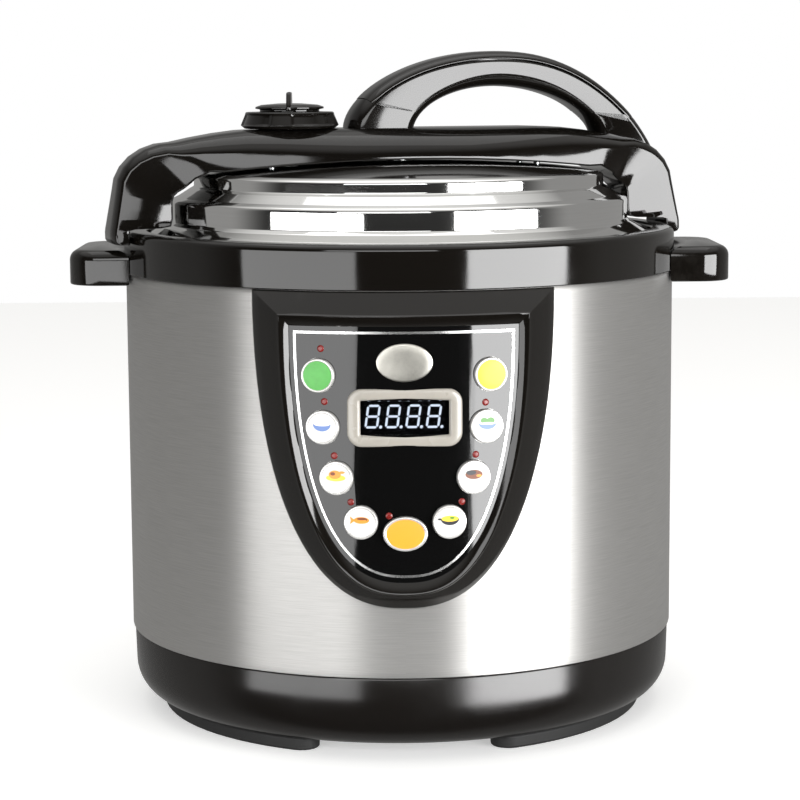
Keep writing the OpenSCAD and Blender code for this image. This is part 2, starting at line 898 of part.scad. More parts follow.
module cup_bracket() {
  color([0.10, 0.09, 0.08])
  difference() {
    union() {
      intersection() {
        tube(shell_r + 2, shell_r + 0.1, cup_h + 4, cup_top - cup_h - 2);
        translate([-cup_w / 2 - 4, 0, 0])
        cube([cup_w + 8, 2 * shell_r, ring_z]);
      }
      for (s = [-1, 1])
        translate([s * (cup_w / 2 + 2 + rail_gap) - 1.5, shell_r - 6, cup_top - cup_h])
        cube([3, 12, cup_h - 8]);
    }
    cylinder(r = shell_r + 0.1, h = ring_z);
  }
}

module drip_cup() {
  color([0.85, 0.87, 0.88, 0.5])
  translate([0, (cup_in + cup_out) / 2, cup_top - cup_h])
  difference() {
    pill_block(cup_w, cup_out - cup_in, cup_h, 3);
    translate([0, 0, cup_wall])
    pill_block(cup_w - 2 * cup_wall, cup_out - cup_in - 2 * cup_wall, cup_h, 1.5);
  }
}

// Inner pot and seal --------------------------------------------------------------------------

module inner_pot() {
  color([0.6, 0.6, 0.6])
  rotate_extrude()
  polygon(concat(
    [[0, pot_z]],
    arc(pot_r - pot_corner, pot_z + pot_corner, pot_corner, -90, 0, 12),
    [[pot_r, rim_top - rim_t - 1], [pot_r + 0.6, rim_top - rim_t],
     [pot_r + pot_rim_w, rim_top - rim_t], [pot_r + pot_rim_w, rim_top],
     [pot_r - pot_wall + 0.6, rim_top], [pot_r - pot_wall, rim_top - rim_t]],
    arc(pot_r - pot_corner, pot_z + pot_corner, pot_corner - pot_wall, 0, -60, 8),
    [[pot_r - pot_corner, pot_z + pot_floor], [0, pot_z + pot_floor]]));
}

seal_z = rim_top + 0.3;
seal_out = outer_pot_in - 0.1;
seal_in = pot_r - 5;
seal_h = 8.6;
seal_lip = 2.2;
plate_z = seal_z + seal_lip + 1.4;
seal_plate_t = 1.2;

module sealing_ring() {
  color([0.86, 0.86, 0.84])
  rotate_extrude()
  polygon([[seal_in, seal_z], [seal_out, seal_z], [seal_out, seal_z + seal_h],
    [seal_in, seal_z + seal_h], [seal_in, seal_z + seal_h - seal_lip],
    [seal_out - 2.6, seal_z + seal_h - seal_lip], [seal_out - 2.6, seal_z + seal_lip],
    [seal_in, seal_z + seal_lip]]);
}

float_t = -20;
float_s = 22;
post_r = 3;
pipe_r = 4;
hole_gap = 0.1;

module seal_plate() {
  color([0.78, 0.78, 0.78])
  difference() {
    translate([0, 0, plate_z])
    cylinder(r = seal_out - 3.2, h = seal_plate_t);
    translate([0, 0, plate_z - eps])
    cylinder(r = post_r + hole_gap, h = seal_plate_t + 2 * eps);
    on_arm(-valve_off)
    translate([0, 0, plate_z - eps])
    cylinder(r = pipe_r + hole_gap, h = seal_plate_t + 2 * eps);
    on_arm(float_t, float_s)
    translate([0, 0, plate_z - eps])
    cylinder(r = 4, h = seal_plate_t + 2 * eps);
    around(6)
    translate([seal_in - 20, 0, plate_z - eps])
    cylinder(r = 3, h = seal_plate_t + 2 * eps);
  }
}

module centre_post() {
  color([0.8, 0.8, 0.8])
  union() {
    translate([0, 0, plate_z - 3])
    cylinder(r = 7, h = 3);
    translate([0, 0, plate_z - 1])
    cylinder(r = post_r, h = lid_top + 6 - plate_z + 1);
    translate([0, 0, plate_z + seal_plate_t])
    cylinder(r = 5, h = lid_top - lid_t - plate_z - seal_plate_t - 0.1);
    translate([0, 0, lid_top])
    cylinder(r = 6, h = 3.5);
  }
}

// Lid -----------------------------------------------------------------------------------------

lid_lug_z = ring_top - 12.9;
lid_lug_t = 2;
dome_n = 10;
function dome_at(r, top) = top - dome_h * pow(r / dome_r, 2);
function dome_line(top, r_end) =
  [for (i = [0 : dome_n]) let (r = r_end * (1 - i / dome_n)) [r, dome_at(r, top)]];

screw_t = 70;
screw_s = 14;

module lid() {
  color([0.85, 0.85, 0.86])
  difference() {
    union() {
      rotate_extrude()
      polygon(concat(
        [[skirt_r, lid_lug_z], [skirt_r, lid_edge_z], [lid_wall_r + 2, lid_edge_z + slope_h - 1.5],
         [lid_wall_r, lid_edge_z + slope_h], [lid_wall_r, wall_top],
         [lid_wall_r - 4, wall_top + 2], [lid_step_r + 1.7, step_z - 1],
         [lid_step_r, step_z], [lid_step_r, step_z + step_h]],
        dome_line(lid_top, dome_r),
        [for (i = [dome_n : -1 : 0]) dome_line(lid_top - lid_t, dome_r - 0.4)[i]],
        [[lid_step_r - lid_t, step_z + step_h - 0.6], [lid_step_r - lid_t, step_z - 0.6],
         [lid_step_r + 1.2, step_z - 1 - lid_t], [lid_wall_r - 4.5, wall_top + 2 - lid_t],
         [lid_wall_r - lid_t, wall_top - 0.8], [lid_wall_r - lid_t, lid_edge_z + slope_h - 0.6],
         [lid_wall_r + 1.3, lid_edge_z + slope_h - 2.6], [skirt_r - lid_t, lid_edge_z - 0.8],
         [skirt_r - lid_t, lid_lug_z]]));
      around(lug_n, 180 / lug_n)
      lug(lug_in, skirt_r - lid_t / 2, lid_lug_t, lid_lug_z);
    }
    translate([0, 0, lid_top - 5])
    cylinder(r = post_r + hole_gap, h = 10);
    on_arm(-valve_off)
    translate([0, 0, lid_top - 8])
    cylinder(r = pipe_r + hole_gap, h = 16);
    on_arm(float_t, float_s)
    translate([0, 0, lid_top - 8])
    cylinder(r = bush_r + hole_gap, h = 16);
    for (t = [-1, 1], s = [-1, 1])
      on_arm(t * screw_t, s * screw_s)
      translate([0, 0, lid_top - 12])
      cylinder(r = 1.8, h = 16);
  }
}

// Bridge across the lid, and its handle --------------------------------------------------------

arm_half = ring_r + 10.2;
leg_in = ring_r + 0.8;
leg_bottom = ring_top - 5.5;
leg_lean = 3.6;
corner_w = 29.4;
corner_h = 24;
crown_drop = 6;
corner_t = arm_half - leg_lean - corner_w;
corner_z = arm_top - crown_drop - corner_h;
under_gap = 0.6;
under_n = 6;
inner_wall = lid_wall_r + 3;
bow_r = (arm_half * arm_half + pow(arm_mid_w - arm_end_w, 2)) / (2 * (arm_mid_w - arm_end_w));

// Leaf-shaped plan of the bridge, shrunk by an inset
module arm_plan(inset = 0) {
  intersection() {
    translate([0, arm_mid_w - bow_r])
    circle(r = bow_r - inset, $fn = 360);
    translate([0, bow_r - arm_mid_w])
    circle(r = bow_r - inset, $fn = 360);
    square([2 * (arm_half - inset), 4 * arm_mid_w], center = true);
  }
}

// Half of the bridge seen from the front: the crown, a leg and the stepped underside
module arm_side(sign) {
  polygon([for (p = concat(
    [[0, arm_top], [corner_t - 50, arm_top], [corner_t - 34, arm_top - 0.6],
     [corner_t - 22, arm_top - 2], [corner_t - 10, arm_top - 4]],
    [for (i = [0 : 10]) [corner_t + corner_w * sin(9 * i), corner_z + corner_h * cos(9 * i)]],
    [[arm_half - 2, ring_top + 10], [arm_half - 0.3, leg_bottom + 6], [arm_half, leg_bottom + 1.5],
     [arm_half - 1, leg_bottom], [leg_in, leg_bottom], [leg_in, ring_top + 1.8],
     [inner_wall, ring_top + 2.5], [inner_wall, wall_top + 3], [inner_wall - 2, wall_top + 5],
     [lid_step_r + 6, step_z + 3.5], [lid_step_r + 5, step_z + step_h],
     [dome_r + 0.5, dome_z + 1.6]],
    [for (i = [under_n : -1 : 0]) let (t = (dome_r - 6) * i / under_n)
      [t, dome_at(t, lid_top) + under_gap]]))
    [sign * p[0], p[1]]]);
}

module arm_profile_solid() {
  rotate([90, 0, 0])
  translate([0, 0, -2 * arm_mid_w])
  linear_extrude(height = 4 * arm_mid_w) {
    arm_side(1);
    arm_side(-1);
  }
}

module arm_blank() {
  intersection() {
    arm_profile_solid();
    linear_extrude(height = 2 * arm_top)
    arm_plan();
  }
}

pocket_half = dome_r - 10;

module arm_cover() {
  color([0.10, 0.09, 0.08])
  rotate([0, 0, arm_angle])
  difference() {
    union() {
      difference() {
        arm_blank();
        intersection() {
          translate([-pocket_half, -2 * arm_mid_w, lid_top - 10])
          cube([2 * pocket_half, 4 * arm_mid_w, 10 + arm_rise - arm_wall]);
          linear_extrude(height = 2 * arm_top)
          arm_plan(arm_wall);
        }
      }
      for (t = [-1, 1], s = [-1, 1])
        translate([t * screw_t, s * screw_s, dome_at(norm([screw_t, screw_s]), lid_top) + 0.4])
        cylinder(r = 4.5, h = arm_top - lid_top + 1);
    }
    for (t = [-1, 1], s = [-1, 1])
      translate([t * screw_t, s * screw_s, lid_top - 6])
      cylinder(r = 1.7, h = 6 + arm_rise - arm_wall - 1);
    translate([-valve_off, 0, lid_top])
    cylinder(r = 13, h = 2 * arm_rise);
    translate([float_t, float_s, lid_top])
    cylinder(r = 5, h = 2 * arm_rise);
    translate([float_t, float_s, lid_top - 1])
    cylinder(r = flange_r + 0.5, h = 3.2);
  }
}

module arm_screws() {
  color([0.7, 0.7, 0.7])
  for (t = [-1, 1], s = [-1, 1])
    on_arm(t * screw_t, s * screw_s)
    translate([0, 0, dome_at(norm([screw_t, screw_s]), lid_top) - lid_t - 2.4])
    screw(3.4, 2, 1.6, 15);
}

// The arch: a curve that falls from its peak to each foot
peak_t = 50;
foot_left = -28;
foot_right = 138.5;
right_drop = 52.4;
hole_left = 6;
hole_right = 104;
hole_drop = 24;
hole_peak = handle_rise - 17.9;
arch_n = 14;
function fall(d, p, q) = pow(max(1 - pow(d, p), 0), q);
function outer_arch_left(i) = let (d = sin(90 * i / arch_n))
  [peak_t - d * (peak_t - foot_left), arm_top + handle_rise * fall(d, 2, 0.58)];
function outer_arch_right(i) = let (d = sin(90 * i / arch_n))
  [peak_t + d * (foot_right - peak_t), arm_top + handle_rise - right_drop * (1 - fall(d, 2.3, 0.9))];
function inner_arch_left(i) = let (d = sin(90 * i / arch_n))
  [peak_t - d * (peak_t - hole_left), arm_top + hole_peak - hole_drop * (1 - fall(d, 2, 0.5))];
function inner_arch_right(i) = let (d = sin(90 * i / arch_n))
  [peak_t + d * (hole_right - peak_t), arm_top + hole_peak - hole_drop * (1 - fall(d, 2, 0.62))];
outer_arch = concat([for (i = [arch_n : -1 : 1]) outer_arch_left(i)],
  [for (i = [0 : arch_n]) outer_arch_right(i)]);
inner_arch = concat([for (i = [arch_n : -1 : 1]) inner_arch_left(i)],
  [for (i = [0 : arch_n]) inner_arch_right(i)]);

// The arch drawn in by the cap's thickness, square to its own curve
function arch_normal(i) =
  let (a = outer_arch[max(i - 1, 0)], b = outer_arch[min(i + 1, 2 * arch_n)], d = unit(b - a))
  [d[1], -d[0]];
function arch_inset(i, by) = outer_arch[i] + by * arch_normal(i);
cap_from = 4;
cap_to = 2 * arch_n - 5;

module upright(w) {
  rotate([90, 0, 0])
  translate([0, 0, -w / 2])
  linear_extrude(height = w)
  children();
}

// Children kept within the bridge's plan, so that the handle's foot never overhangs its sides
module on_plan() {
  intersection() {
    linear_extrude(height = 2 * arm_top)
    arm_plan(0.4);
    children();
  }
}

module handle_body() {
  color([0.09, 0.08, 0.07])
  rotate([0, 0, arm_angle])
  difference() {
    on_plan()
    upright(handle_w)
    polygon(concat(
      [outer_arch[0]],
      [for (i = [1 : cap_from - 1]) outer_arch[i]],
      [for (i = [cap_from : cap_to]) arch_inset(i, handle_cap_t + 0.1)],
      [for (i = [cap_to + 1 : 2 * arch_n]) outer_arch[i]],
      [for (i = [2 * arch_n : -1 : 0]) inner_arch[i]]));
    translate([0, 0, 0.1])
    arm_blank();
  }
}

module handle_cap() {
  color([0.11, 0.10, 0.09])
  rotate([0, 0, arm_angle])
  difference() {
    on_plan()
    upright(handle_w)
    polygon(concat(
      [for (i = [cap_from : cap_to]) outer_arch[i]],
      [for (i = [cap_to : -1 : cap_from]) arch_inset(i, handle_cap_t)]));
    translate([0, 0, 0.1])
    arm_blank();
  }
}

// Pressure valve and float ---------------------------------------------------------------------

neck_r = knob_r - 1.7;
disc_z = arm_top + turret_h + 1.6;
disc_t = 2.5;
weight_r = 9;
weight_z = arm_top + 2.3;

module valve_turret() {
  color([0.10, 0.09, 0.08])
  on_arm(-valve_off)
  difference() {
    rotate_extrude()
    polygon([[neck_r + 0.7, arm_top + 0.1], [turret_r - 1.5, arm_top + 0.1],
      [turret_r, arm_top + 1.5], [turret_r - 2.2, arm_top + turret_h - 1.2],
      [turret_r - 3.4, arm_top + turret_h], [neck_r + 0.7, arm_top + turret_h]]);
    around(4, 45)
    translate([turret_r + 5, 0, arm_top + turret_h / 2])
    cube([12.6, 18, turret_h - 4], center = true);
  }
}

module exhaust_pipe() {
  color([0.8, 0.8, 0.78])
  on_arm(-valve_off)
  difference() {
    union() {
      translate([0, 0, plate_z - 4])
      cylinder(r = pipe_r, h = weight_z - 0.4 - plate_z + 4);
      translate([0, 0, lid_top + 0.1])
      cylinder(r = 8, h = 3);
      translate([0, 0, plate_z + seal_plate_t + 1])
      cylinder(r = 7, h = 5);
    }
    translate([0, 0, plate_z - 5])
    cylinder(r = pipe_bore / 2, h = 2 * arm_top);
  }
}

cap_h = 11;
cap_r = 11;
cap_wall = 1.2;

module anti_block_cap() {
  color([0.75, 0.75, 0.75])
  on_arm(-valve_off)
  translate([0, 0, plate_z - cap_h - 0.1])
  difference() {
    cylinder(r = cap_r, h = cap_h);
    translate([0, 0, cap_wall])
    cylinder(r = cap_r - cap_wall, h = cap_h);
    around(8)
    translate([cap_r, 0, cap_h / 2])
    cube([6, 2, cap_h - 5], center = true);
  }
}

module valve_weight() {
  color([0.8, 0.79, 0.76])
  on_arm(-valve_off)
  union() {
    translate([0, 0, weight_z])
    cylinder(r = weight_r, h = disc_z - weight_z - 0.6);
    translate([0, 0, weight_z - 6])
    cylinder(r = pipe_bore / 2 - 0.4, h = 7);
  }
}

fin_t = 2.5;
fin_reach = 1.4;

module valve_knob() {
  color([0.07, 0.07, 0.06])
  on_arm(-valve_off)
  union() {
    tube(neck_r, weight_r + 0.5, disc_z + 0.5 - arm_top - 2.4, arm_top + 2.4);
    translate([0, 0, disc_z])
    cylinder(r1 = knob_r, r2 = knob_r - 2, h = disc_t);
    rotate([0, 0, -arm_angle])
    translate([-fin_t / 2, -knob_r - fin_reach, disc_z + 0.2])
    cube([fin_t, knob_r + fin_reach + 9, disc_t + fin_h - 0.2]);
  }
}

bush_r = 4;
flange_r = 6.5;

module float_bush() {
  color([0.85, 0.85, 0.83])
  on_arm(float_t, float_s)
  difference() {
    union() {
      translate([0, 0, lid_top - 4])
      cylinder(r = bush_r, h = 5.5);
      translate([0, 0, lid_top])
      cylinder(r = flange_r, h = 1.5);
    }
    translate([0, 0, lid_top - 5])
    cylinder(r = pin_r + 0.4, h = 8);
  }
}

pin_r = 2.4;

module float_pin() {
  color([0.8, 0.2, 0.15])
  on_arm(float_t, float_s)
  union() {
    translate([0, 0, lid_top - 15])
    cylinder(r = pin_r, h = arm_rise + 15 - 2);
    translate([0, 0, lid_top - 13])
    cylinder(r = 5.5, h = 1.5);
    translate([0, 0, lid_top + 1.8])
    cylinder(r = 4.2, h = 1.4);
  }
}

base();
base_plate();
feet();
base_screws();
steel_shell();
top_ring();
side_handle_left();
side_handle_right();
outer_pot();
heat_shield();
heating_plate();
heater_terminals();
sensor_spring();
sensor_cap();
pressure_switch();
power_board();
board_parts();
wiring();
power_inlet();
inlet_pins();
inlet_screws();
control_bezel();
label_plate();
border_trim();
badge();
display_frame();
display_window();
display_digits();
display_module();
indicator_lenses();
switch_sheet();
control_board();
cup_bracket();
drip_cup();
button_green();
button_rice();
button_chicken();
button_fish();
button_soup();
button_casserole();
button_beef();
button_vegetable();
button_yellow();
inner_pot();
sealing_ring();
seal_plate();
centre_post();
lid();
arm_cover();
arm_screws();
handle_body();
handle_cap();
valve_turret();
exhaust_pipe();
anti_block_cap();
valve_weight();
valve_knob();
float_bush();
float_pin();
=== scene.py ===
# %% [markdown]
# Electric pressure cooker. The cooker is a stack of round parts: a black base, a brushed
# steel shell, a black ring and a polished lid. On top of that sit a plastic bridge with a
# loop handle and a valve, and on the front is a curved shield with a display and buttons.
# The frame that is loaded here holds every part at its true size, so the script never
# measures anything twice. It asks the frame where a part is and builds the finish there.

# %% Load the frame
import json
import math

import bmesh
import bpy
from mathutils import Matrix, Vector


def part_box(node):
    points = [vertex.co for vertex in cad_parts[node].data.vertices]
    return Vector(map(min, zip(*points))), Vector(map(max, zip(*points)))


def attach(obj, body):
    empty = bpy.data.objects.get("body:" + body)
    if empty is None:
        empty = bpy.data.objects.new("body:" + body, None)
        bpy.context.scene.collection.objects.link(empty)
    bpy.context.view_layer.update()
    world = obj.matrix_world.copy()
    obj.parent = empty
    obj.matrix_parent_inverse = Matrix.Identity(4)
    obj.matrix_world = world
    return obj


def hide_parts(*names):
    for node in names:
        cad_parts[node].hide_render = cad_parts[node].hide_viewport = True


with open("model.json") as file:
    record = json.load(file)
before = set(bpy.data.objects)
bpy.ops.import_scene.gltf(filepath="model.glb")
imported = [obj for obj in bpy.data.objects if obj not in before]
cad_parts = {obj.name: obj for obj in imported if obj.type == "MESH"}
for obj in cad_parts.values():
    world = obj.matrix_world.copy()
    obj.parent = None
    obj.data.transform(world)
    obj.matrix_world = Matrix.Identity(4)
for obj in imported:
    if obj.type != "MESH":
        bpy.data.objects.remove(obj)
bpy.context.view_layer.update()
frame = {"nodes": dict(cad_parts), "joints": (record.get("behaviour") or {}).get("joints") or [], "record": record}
mm = 0.001

# %% [markdown]
# The levels and radii that the new pieces share are read from the frame's boxes: the top of
# the ring, the top of the lid, the radius of the shell. A piece that is built from them fits
# its neighbours without any nudging by eye.

# %% Levels and radii of the stack
def top_of(node):
    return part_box(node)[1].z


def bottom_of(node):
    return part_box(node)[0].z


def radius_of(node):
    low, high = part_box(node)
    return (high.x - low.x) / 2


def middle_of(node):
    low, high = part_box(node)
    return (low + high) / 2


shell_radius = radius_of("steel_shell")
base_radius = radius_of("base")
seam_height = bottom_of("steel_shell")
ring_bottom = top_of("steel_shell") + 0.1 * mm
ring_top = top_of("top_ring")
lid_top = top_of("lid")
bridge_top = top_of("arm_cover")
plate_radius = -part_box("label_plate")[0].y
ridge_radius = -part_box("control_bezel")[0].y
bridge_turn = math.radians(15)
print("ring top", round(ring_top, 4), "lid top", round(lid_top, 4), "bridge top", round(bridge_top, 4))

# %% [markdown]
# The camera is a long lens a little over a metre away, slightly above the lid and looking
# down by a few degrees. A long lens keeps the sides of the cooker almost parallel, as in a
# catalogue. The camera comes first, so that every later choice can be judged through it.

# %% Camera
lens_mm = 107.92
camera_place = Vector((-0.0183, -1.2357, 0.3234))
camera_down = math.radians(7.762)
camera_aside = math.radians(-0.85)
camera_roll = math.radians(-0.357)

camera_data = bpy.data.cameras.new("catalogue_lens")
camera_data.lens = lens_mm
camera_data.sensor_width = 36.0
camera = bpy.data.objects.new("catalogue_camera", camera_data)
bpy.context.scene.collection.objects.link(camera)
turn = Matrix.Rotation(camera_aside, 4, "Z") @ Matrix.Rotation(math.pi / 2 - camera_down, 4, "X")
camera.matrix_world = Matrix.Translation(camera_place) @ turn @ Matrix.Rotation(camera_roll, 4, "Z")
bpy.context.scene.camera = camera
bpy.context.scene.view_settings.view_transform = "Standard"
print("camera", [round(v, 3) for v in camera.location], "lens", lens_mm)

# %% [markdown]
# A studio shot of a shiny pot is mostly a picture of its lights. A small soft box stands
# close by on the left and a large, brighter one further off on the right, and between them
# it is dark. The pale room behind and above fills in the rest. The world gives the room:
# dark towards the camera, soft grey at the sides and behind, and bright overhead.

# %% World
front_glow, side_glow, overhead_glow = 0.03, 0.30, 0.85


def eased(tree, value, low, high, to_low=0.0, to_high=1.0):
    """Maps a value from low..high to a new range, with soft ends."""
    node = tree.nodes.new("ShaderNodeMapRange")
    node.interpolation_type = "SMOOTHSTEP"
    for label, number in (("From Min", low), ("From Max", high), ("To Min", to_low), ("To Max", to_high)):
        node.inputs[label].default_value = number
    tree.links.new(value, node.inputs["Value"])
    return node.outputs[0]


def studio_world():
    world = bpy.data.worlds.new("studio_room")
    bpy.context.scene.world = world
    world.use_nodes = True
    nodes, links = world.node_tree.nodes, world.node_tree.links
    nodes.clear()
    out = nodes.new("ShaderNodeOutputWorld")
    seen = nodes.new("ShaderNodeBackground")
    room = nodes.new("ShaderNodeBackground")
    seen.inputs["Color"].default_value = (1.0, 1.0, 1.0, 1)
    mix = nodes.new("ShaderNodeMixShader")
    path = nodes.new("ShaderNodeLightPath")
    links.new(path.outputs["Is Camera Ray"], mix.inputs[0])
    links.new(room.outputs[0], mix.inputs[1])
    links.new(seen.outputs[0], mix.inputs[2])
    links.new(mix.outputs[0], out.inputs["Surface"])
    where = nodes.new("ShaderNodeTexCoord")
    split = nodes.new("ShaderNodeSeparateXYZ")
    links.new(where.outputs["Generated"], split.inputs[0])
    total = nodes.new("ShaderNodeMath")
    total.operation = "MAXIMUM"
    walls = eased(world.node_tree, split.outputs["Y"], -0.42, 0.05, front_glow, side_glow)
    ceiling = eased(world.node_tree, split.outputs["Z"], 0.45, 0.85, 0.0, overhead_glow)
    links.new(walls, total.inputs[0])
    links.new(ceiling, total.inputs[1])
    links.new(total.outputs[0], room.inputs["Strength"])
    room.inputs["Color"].default_value = (1.0, 0.99, 0.97, 1)


studio_world()
print("world ready")

# %% [markdown]
# Each soft box is an area light. It is placed by its bearing from the front and its
# distance, and it faces the middle of the cooker. The boxes put long upright bands on the
# shell, because the brushing smears a highlight upwards and downwards and keeps it sharp
# from side to side. The front card hangs above the camera: only faces that lean back a
# little see it, so it lifts the sides of the bridge and leaves the upright ring dark.

# %% Lights
def soft_box(name, bearing, distance, width, height, middle, power):
    data = bpy.data.lights.new(name, "AREA")
    data.shape = "RECTANGLE"
    data.size, data.size_y = width, height
    data.energy = power
    light = bpy.data.objects.new(name, data)
    bpy.context.scene.collection.objects.link(light)
    angle = math.radians(bearing)
    light.location = (distance * math.sin(angle), -distance * math.cos(angle), middle)
    facing = Vector((0, 0, middle)) - light.location
    light.rotation_euler = facing.to_track_quat("-Z", "Y").to_euler()
    light.visible_camera = False
    return light


soft_boxes = [
    soft_box("left_soft_box", -38.8, 0.69, 0.565, 0.30, 0.12, 2.4),
    soft_box("right_soft_box", 47.5, 2.53, 2.0, 1.4, 0.15, 122),
    soft_box("front_card", -8, 1.60, 1.29, 0.42, 0.68, 7.5),
]
top_box = soft_box("top_soft_box", 0, 0.01, 1.6, 1.2, 1.7, 5)
top_box.rotation_euler = (0, 0, 0)
top_box.location = (0, 0.15, 1.7)
print("lights:", [box.name for box in (*soft_boxes, top_box)])

# %% [markdown]
# The cooker stands on a pale table top. Its front edge is close to the cooker, just outside
# the picture, because a wide pale floor would show up as a bright band low on the shell.

# %% Table top
table_left, table_right, table_front, table_back = -1.6, 1.6, -0.26, 2.2


def table_top():
    mesh = bpy.data.meshes.new("table_top")
    corners = [(table_left, table_front, 0), (table_right, table_front, 0),
               (table_right, table_back, 0), (table_left, table_back, 0)]
    mesh.from_pydata(corners, [], [(0, 1, 2, 3)])
    table = bpy.data.objects.new("table_top", mesh)
    bpy.context.scene.collection.objects.link(table)
    paint = bpy.data.materials.new("table_paint")
    paint.use_nodes = True
    shader = paint.node_tree.nodes["Principled BSDF"]
    shader.inputs["Base Color"].default_value = (0.86, 0.86, 0.85, 1)
    shader.inputs["Roughness"].default_value = 0.6
    shader.inputs["Emission Color"].default_value = (1, 1, 1, 1)
    shader.inputs["Emission Strength"].default_value = 0.42
    table.data.materials.append(paint)
    table.visible_glossy = False
    return table


table_top()
print("table top laid")

# %% [markdown]
# Finishes come next. The effects that several finishes share are node groups: fine moulded
# grain, smudges from handling, brushing that runs round the body, and dust that settles on
# faces that look up. Each group has named inputs, so that every material sets its own
# amount, and each one puts out only a mask or a height.

# %% Helper for shared effects
def effect(name, inputs, outputs):
    group = bpy.data.node_groups.new(name, "ShaderNodeTree")
    for label, value in inputs:
        socket = group.interface.new_socket(name=label, in_out="INPUT", socket_type="NodeSocketFloat")
        socket.default_value = value
    for label in outputs:
        group.interface.new_socket(name=label, in_out="OUTPUT", socket_type="NodeSocketFloat")
    entry = group.nodes.new("NodeGroupInput")
    leave = group.nodes.new("NodeGroupOutput")
    return group, entry, leave


def feed(tree, value, socket):
    """Sets a socket to a number, or links another socket to it."""
    if isinstance(value, (int, float)):
        socket.default_value = value
    else:
        tree.links.new(value, socket)


def arithmetic(tree, operation, first, second):
    node = tree.nodes.new("ShaderNodeMath")
    node.operation = operation
    feed(tree, first, node.inputs[0])
    feed(tree, second, node.inputs[1])
    return node.outputs[0]


def noise(tree, vector, scale, detail, roughness):
    node = tree.nodes.new("ShaderNodeTexNoise")
    node.inputs["Detail"].default_value = detail
    node.inputs["Roughness"].default_value = roughness
    feed(tree, scale, node.inputs["Scale"])
    tree.links.new(vector, node.inputs["Vector"])
    return node.outputs["Fac"]


def place_on_part(tree):
    return tree.nodes.new("ShaderNodeTexCoord").outputs["Object"]


# %% [markdown]
# Moulded plastic is never perfectly flat. Its tool leaves a very fine grain, which is only
# a height. Smudges are wide soft patches, with a few fine streaks, that make a gloss finish
# a little duller where hands have been.

# %% Grain and smudges
def moulded_grain():
    group, entry, leave = effect("moulded_grain", [("Grains per metre", 2600)], ["Height"])
    place = place_on_part(group)
    fine = noise(group, place, entry.outputs["Grains per metre"], 2.0, 0.6)
    group.links.new(fine, leave.inputs["Height"])
    return group


def handling_smudges():
    group, entry, leave = effect("handling_smudges", [("Patches per metre", 22), ("Amount", 1)], ["Mask"])
    place = place_on_part(group)
    patches = noise(group, place, entry.outputs["Patches per metre"], 4.0, 0.6)
    soft = eased(group, patches, 0.42, 0.72)
    specks = noise(group, place, 900.0, 2.0, 0.5)
    broken = arithmetic(group, "MULTIPLY", soft, eased(group, specks, 0.3, 0.7, 0.6, 1.0))
    group.links.new(arithmetic(group, "MULTIPLY", broken, entry.outputs["Amount"]), leave.inputs["Mask"])
    return group


grain_group = moulded_grain()
smudge_group = handling_smudges()
print("effects:", grain_group.name, smudge_group.name)

# %% [markdown]
# Brushing on a round body runs round it. The group turns a point into its bearing and its
# height, stretches the noise along the bearing and squeezes it along the height, and gives
# thin level lines. Worn edges use the pointiness of the mesh, which is high on an outer
# corner, and dust uses how far a face looks up.

# %% Brushing, worn edges and dust
def round_brushing():
    group, entry, leave = effect("round_brushing", [("Lines per metre", 1800), ("Along", 5)], ["Lines"])
    place = place_on_part(group)
    split = group.nodes.new("ShaderNodeSeparateXYZ")
    group.links.new(place, split.inputs[0])
    bearing = arithmetic(group, "ARCTAN2", split.outputs["X"], split.outputs["Y"])
    along = arithmetic(group, "MULTIPLY", bearing, entry.outputs["Along"])
    across = arithmetic(group, "MULTIPLY", split.outputs["Z"], entry.outputs["Lines per metre"])
    joined = group.nodes.new("ShaderNodeCombineXYZ")
    group.links.new(along, joined.inputs["X"])
    group.links.new(across, joined.inputs["Y"])
    group.links.new(noise(group, joined.outputs[0], 1.0, 5.0, 0.7), leave.inputs["Lines"])
    return group


def worn_edges():
    group, entry, leave = effect("worn_edges", [("Sharpness", 0.52), ("Amount", 1)], ["Mask"])
    shape = group.nodes.new("ShaderNodeNewGeometry")
    above = arithmetic(group, "SUBTRACT", shape.outputs["Pointiness"], entry.outputs["Sharpness"])
    edge = arithmetic(group, "MULTIPLY", above, 18.0)
    place = place_on_part(group)
    broken = eased(group, noise(group, place, 160.0, 3.0, 0.6), 0.35, 0.65)
    held = arithmetic(group, "MINIMUM", arithmetic(group, "MAXIMUM", edge, 0.0), 1.0)
    kept = arithmetic(group, "MULTIPLY", held, broken)
    group.links.new(arithmetic(group, "MULTIPLY", kept, entry.outputs["Amount"]), leave.inputs["Mask"])
    return group


def settled_dust():
    group, entry, leave = effect("settled_dust", [("Amount", 0.1)], ["Mask"])
    shape = group.nodes.new("ShaderNodeNewGeometry")
    split = group.nodes.new("ShaderNodeSeparateXYZ")
    group.links.new(shape.outputs["Normal"], split.inputs[0])
    looks_up = eased(group, split.outputs["Z"], 0.6, 1.0)
    place = place_on_part(group)
    specks = eased(group, noise(group, place, 1400.0, 2.0, 0.5), 0.55, 0.75)
    dust = arithmetic(group, "MULTIPLY", looks_up, specks)
    group.links.new(arithmetic(group, "MULTIPLY", dust, entry.outputs["Amount"]), leave.inputs["Mask"])
    return group


brush_group = round_brushing()
wear_group = worn_edges()
dust_group = settled_dust()
print("effects:", brush_group.name, wear_group.name, dust_group.name)

# %% [markdown]
# A material starts as one plain Principled shader. Small helpers place an effect, mix two
# colours by a mask, and send a mask to roughness, so that each finish below reads as a
# short list of what the real surface does.

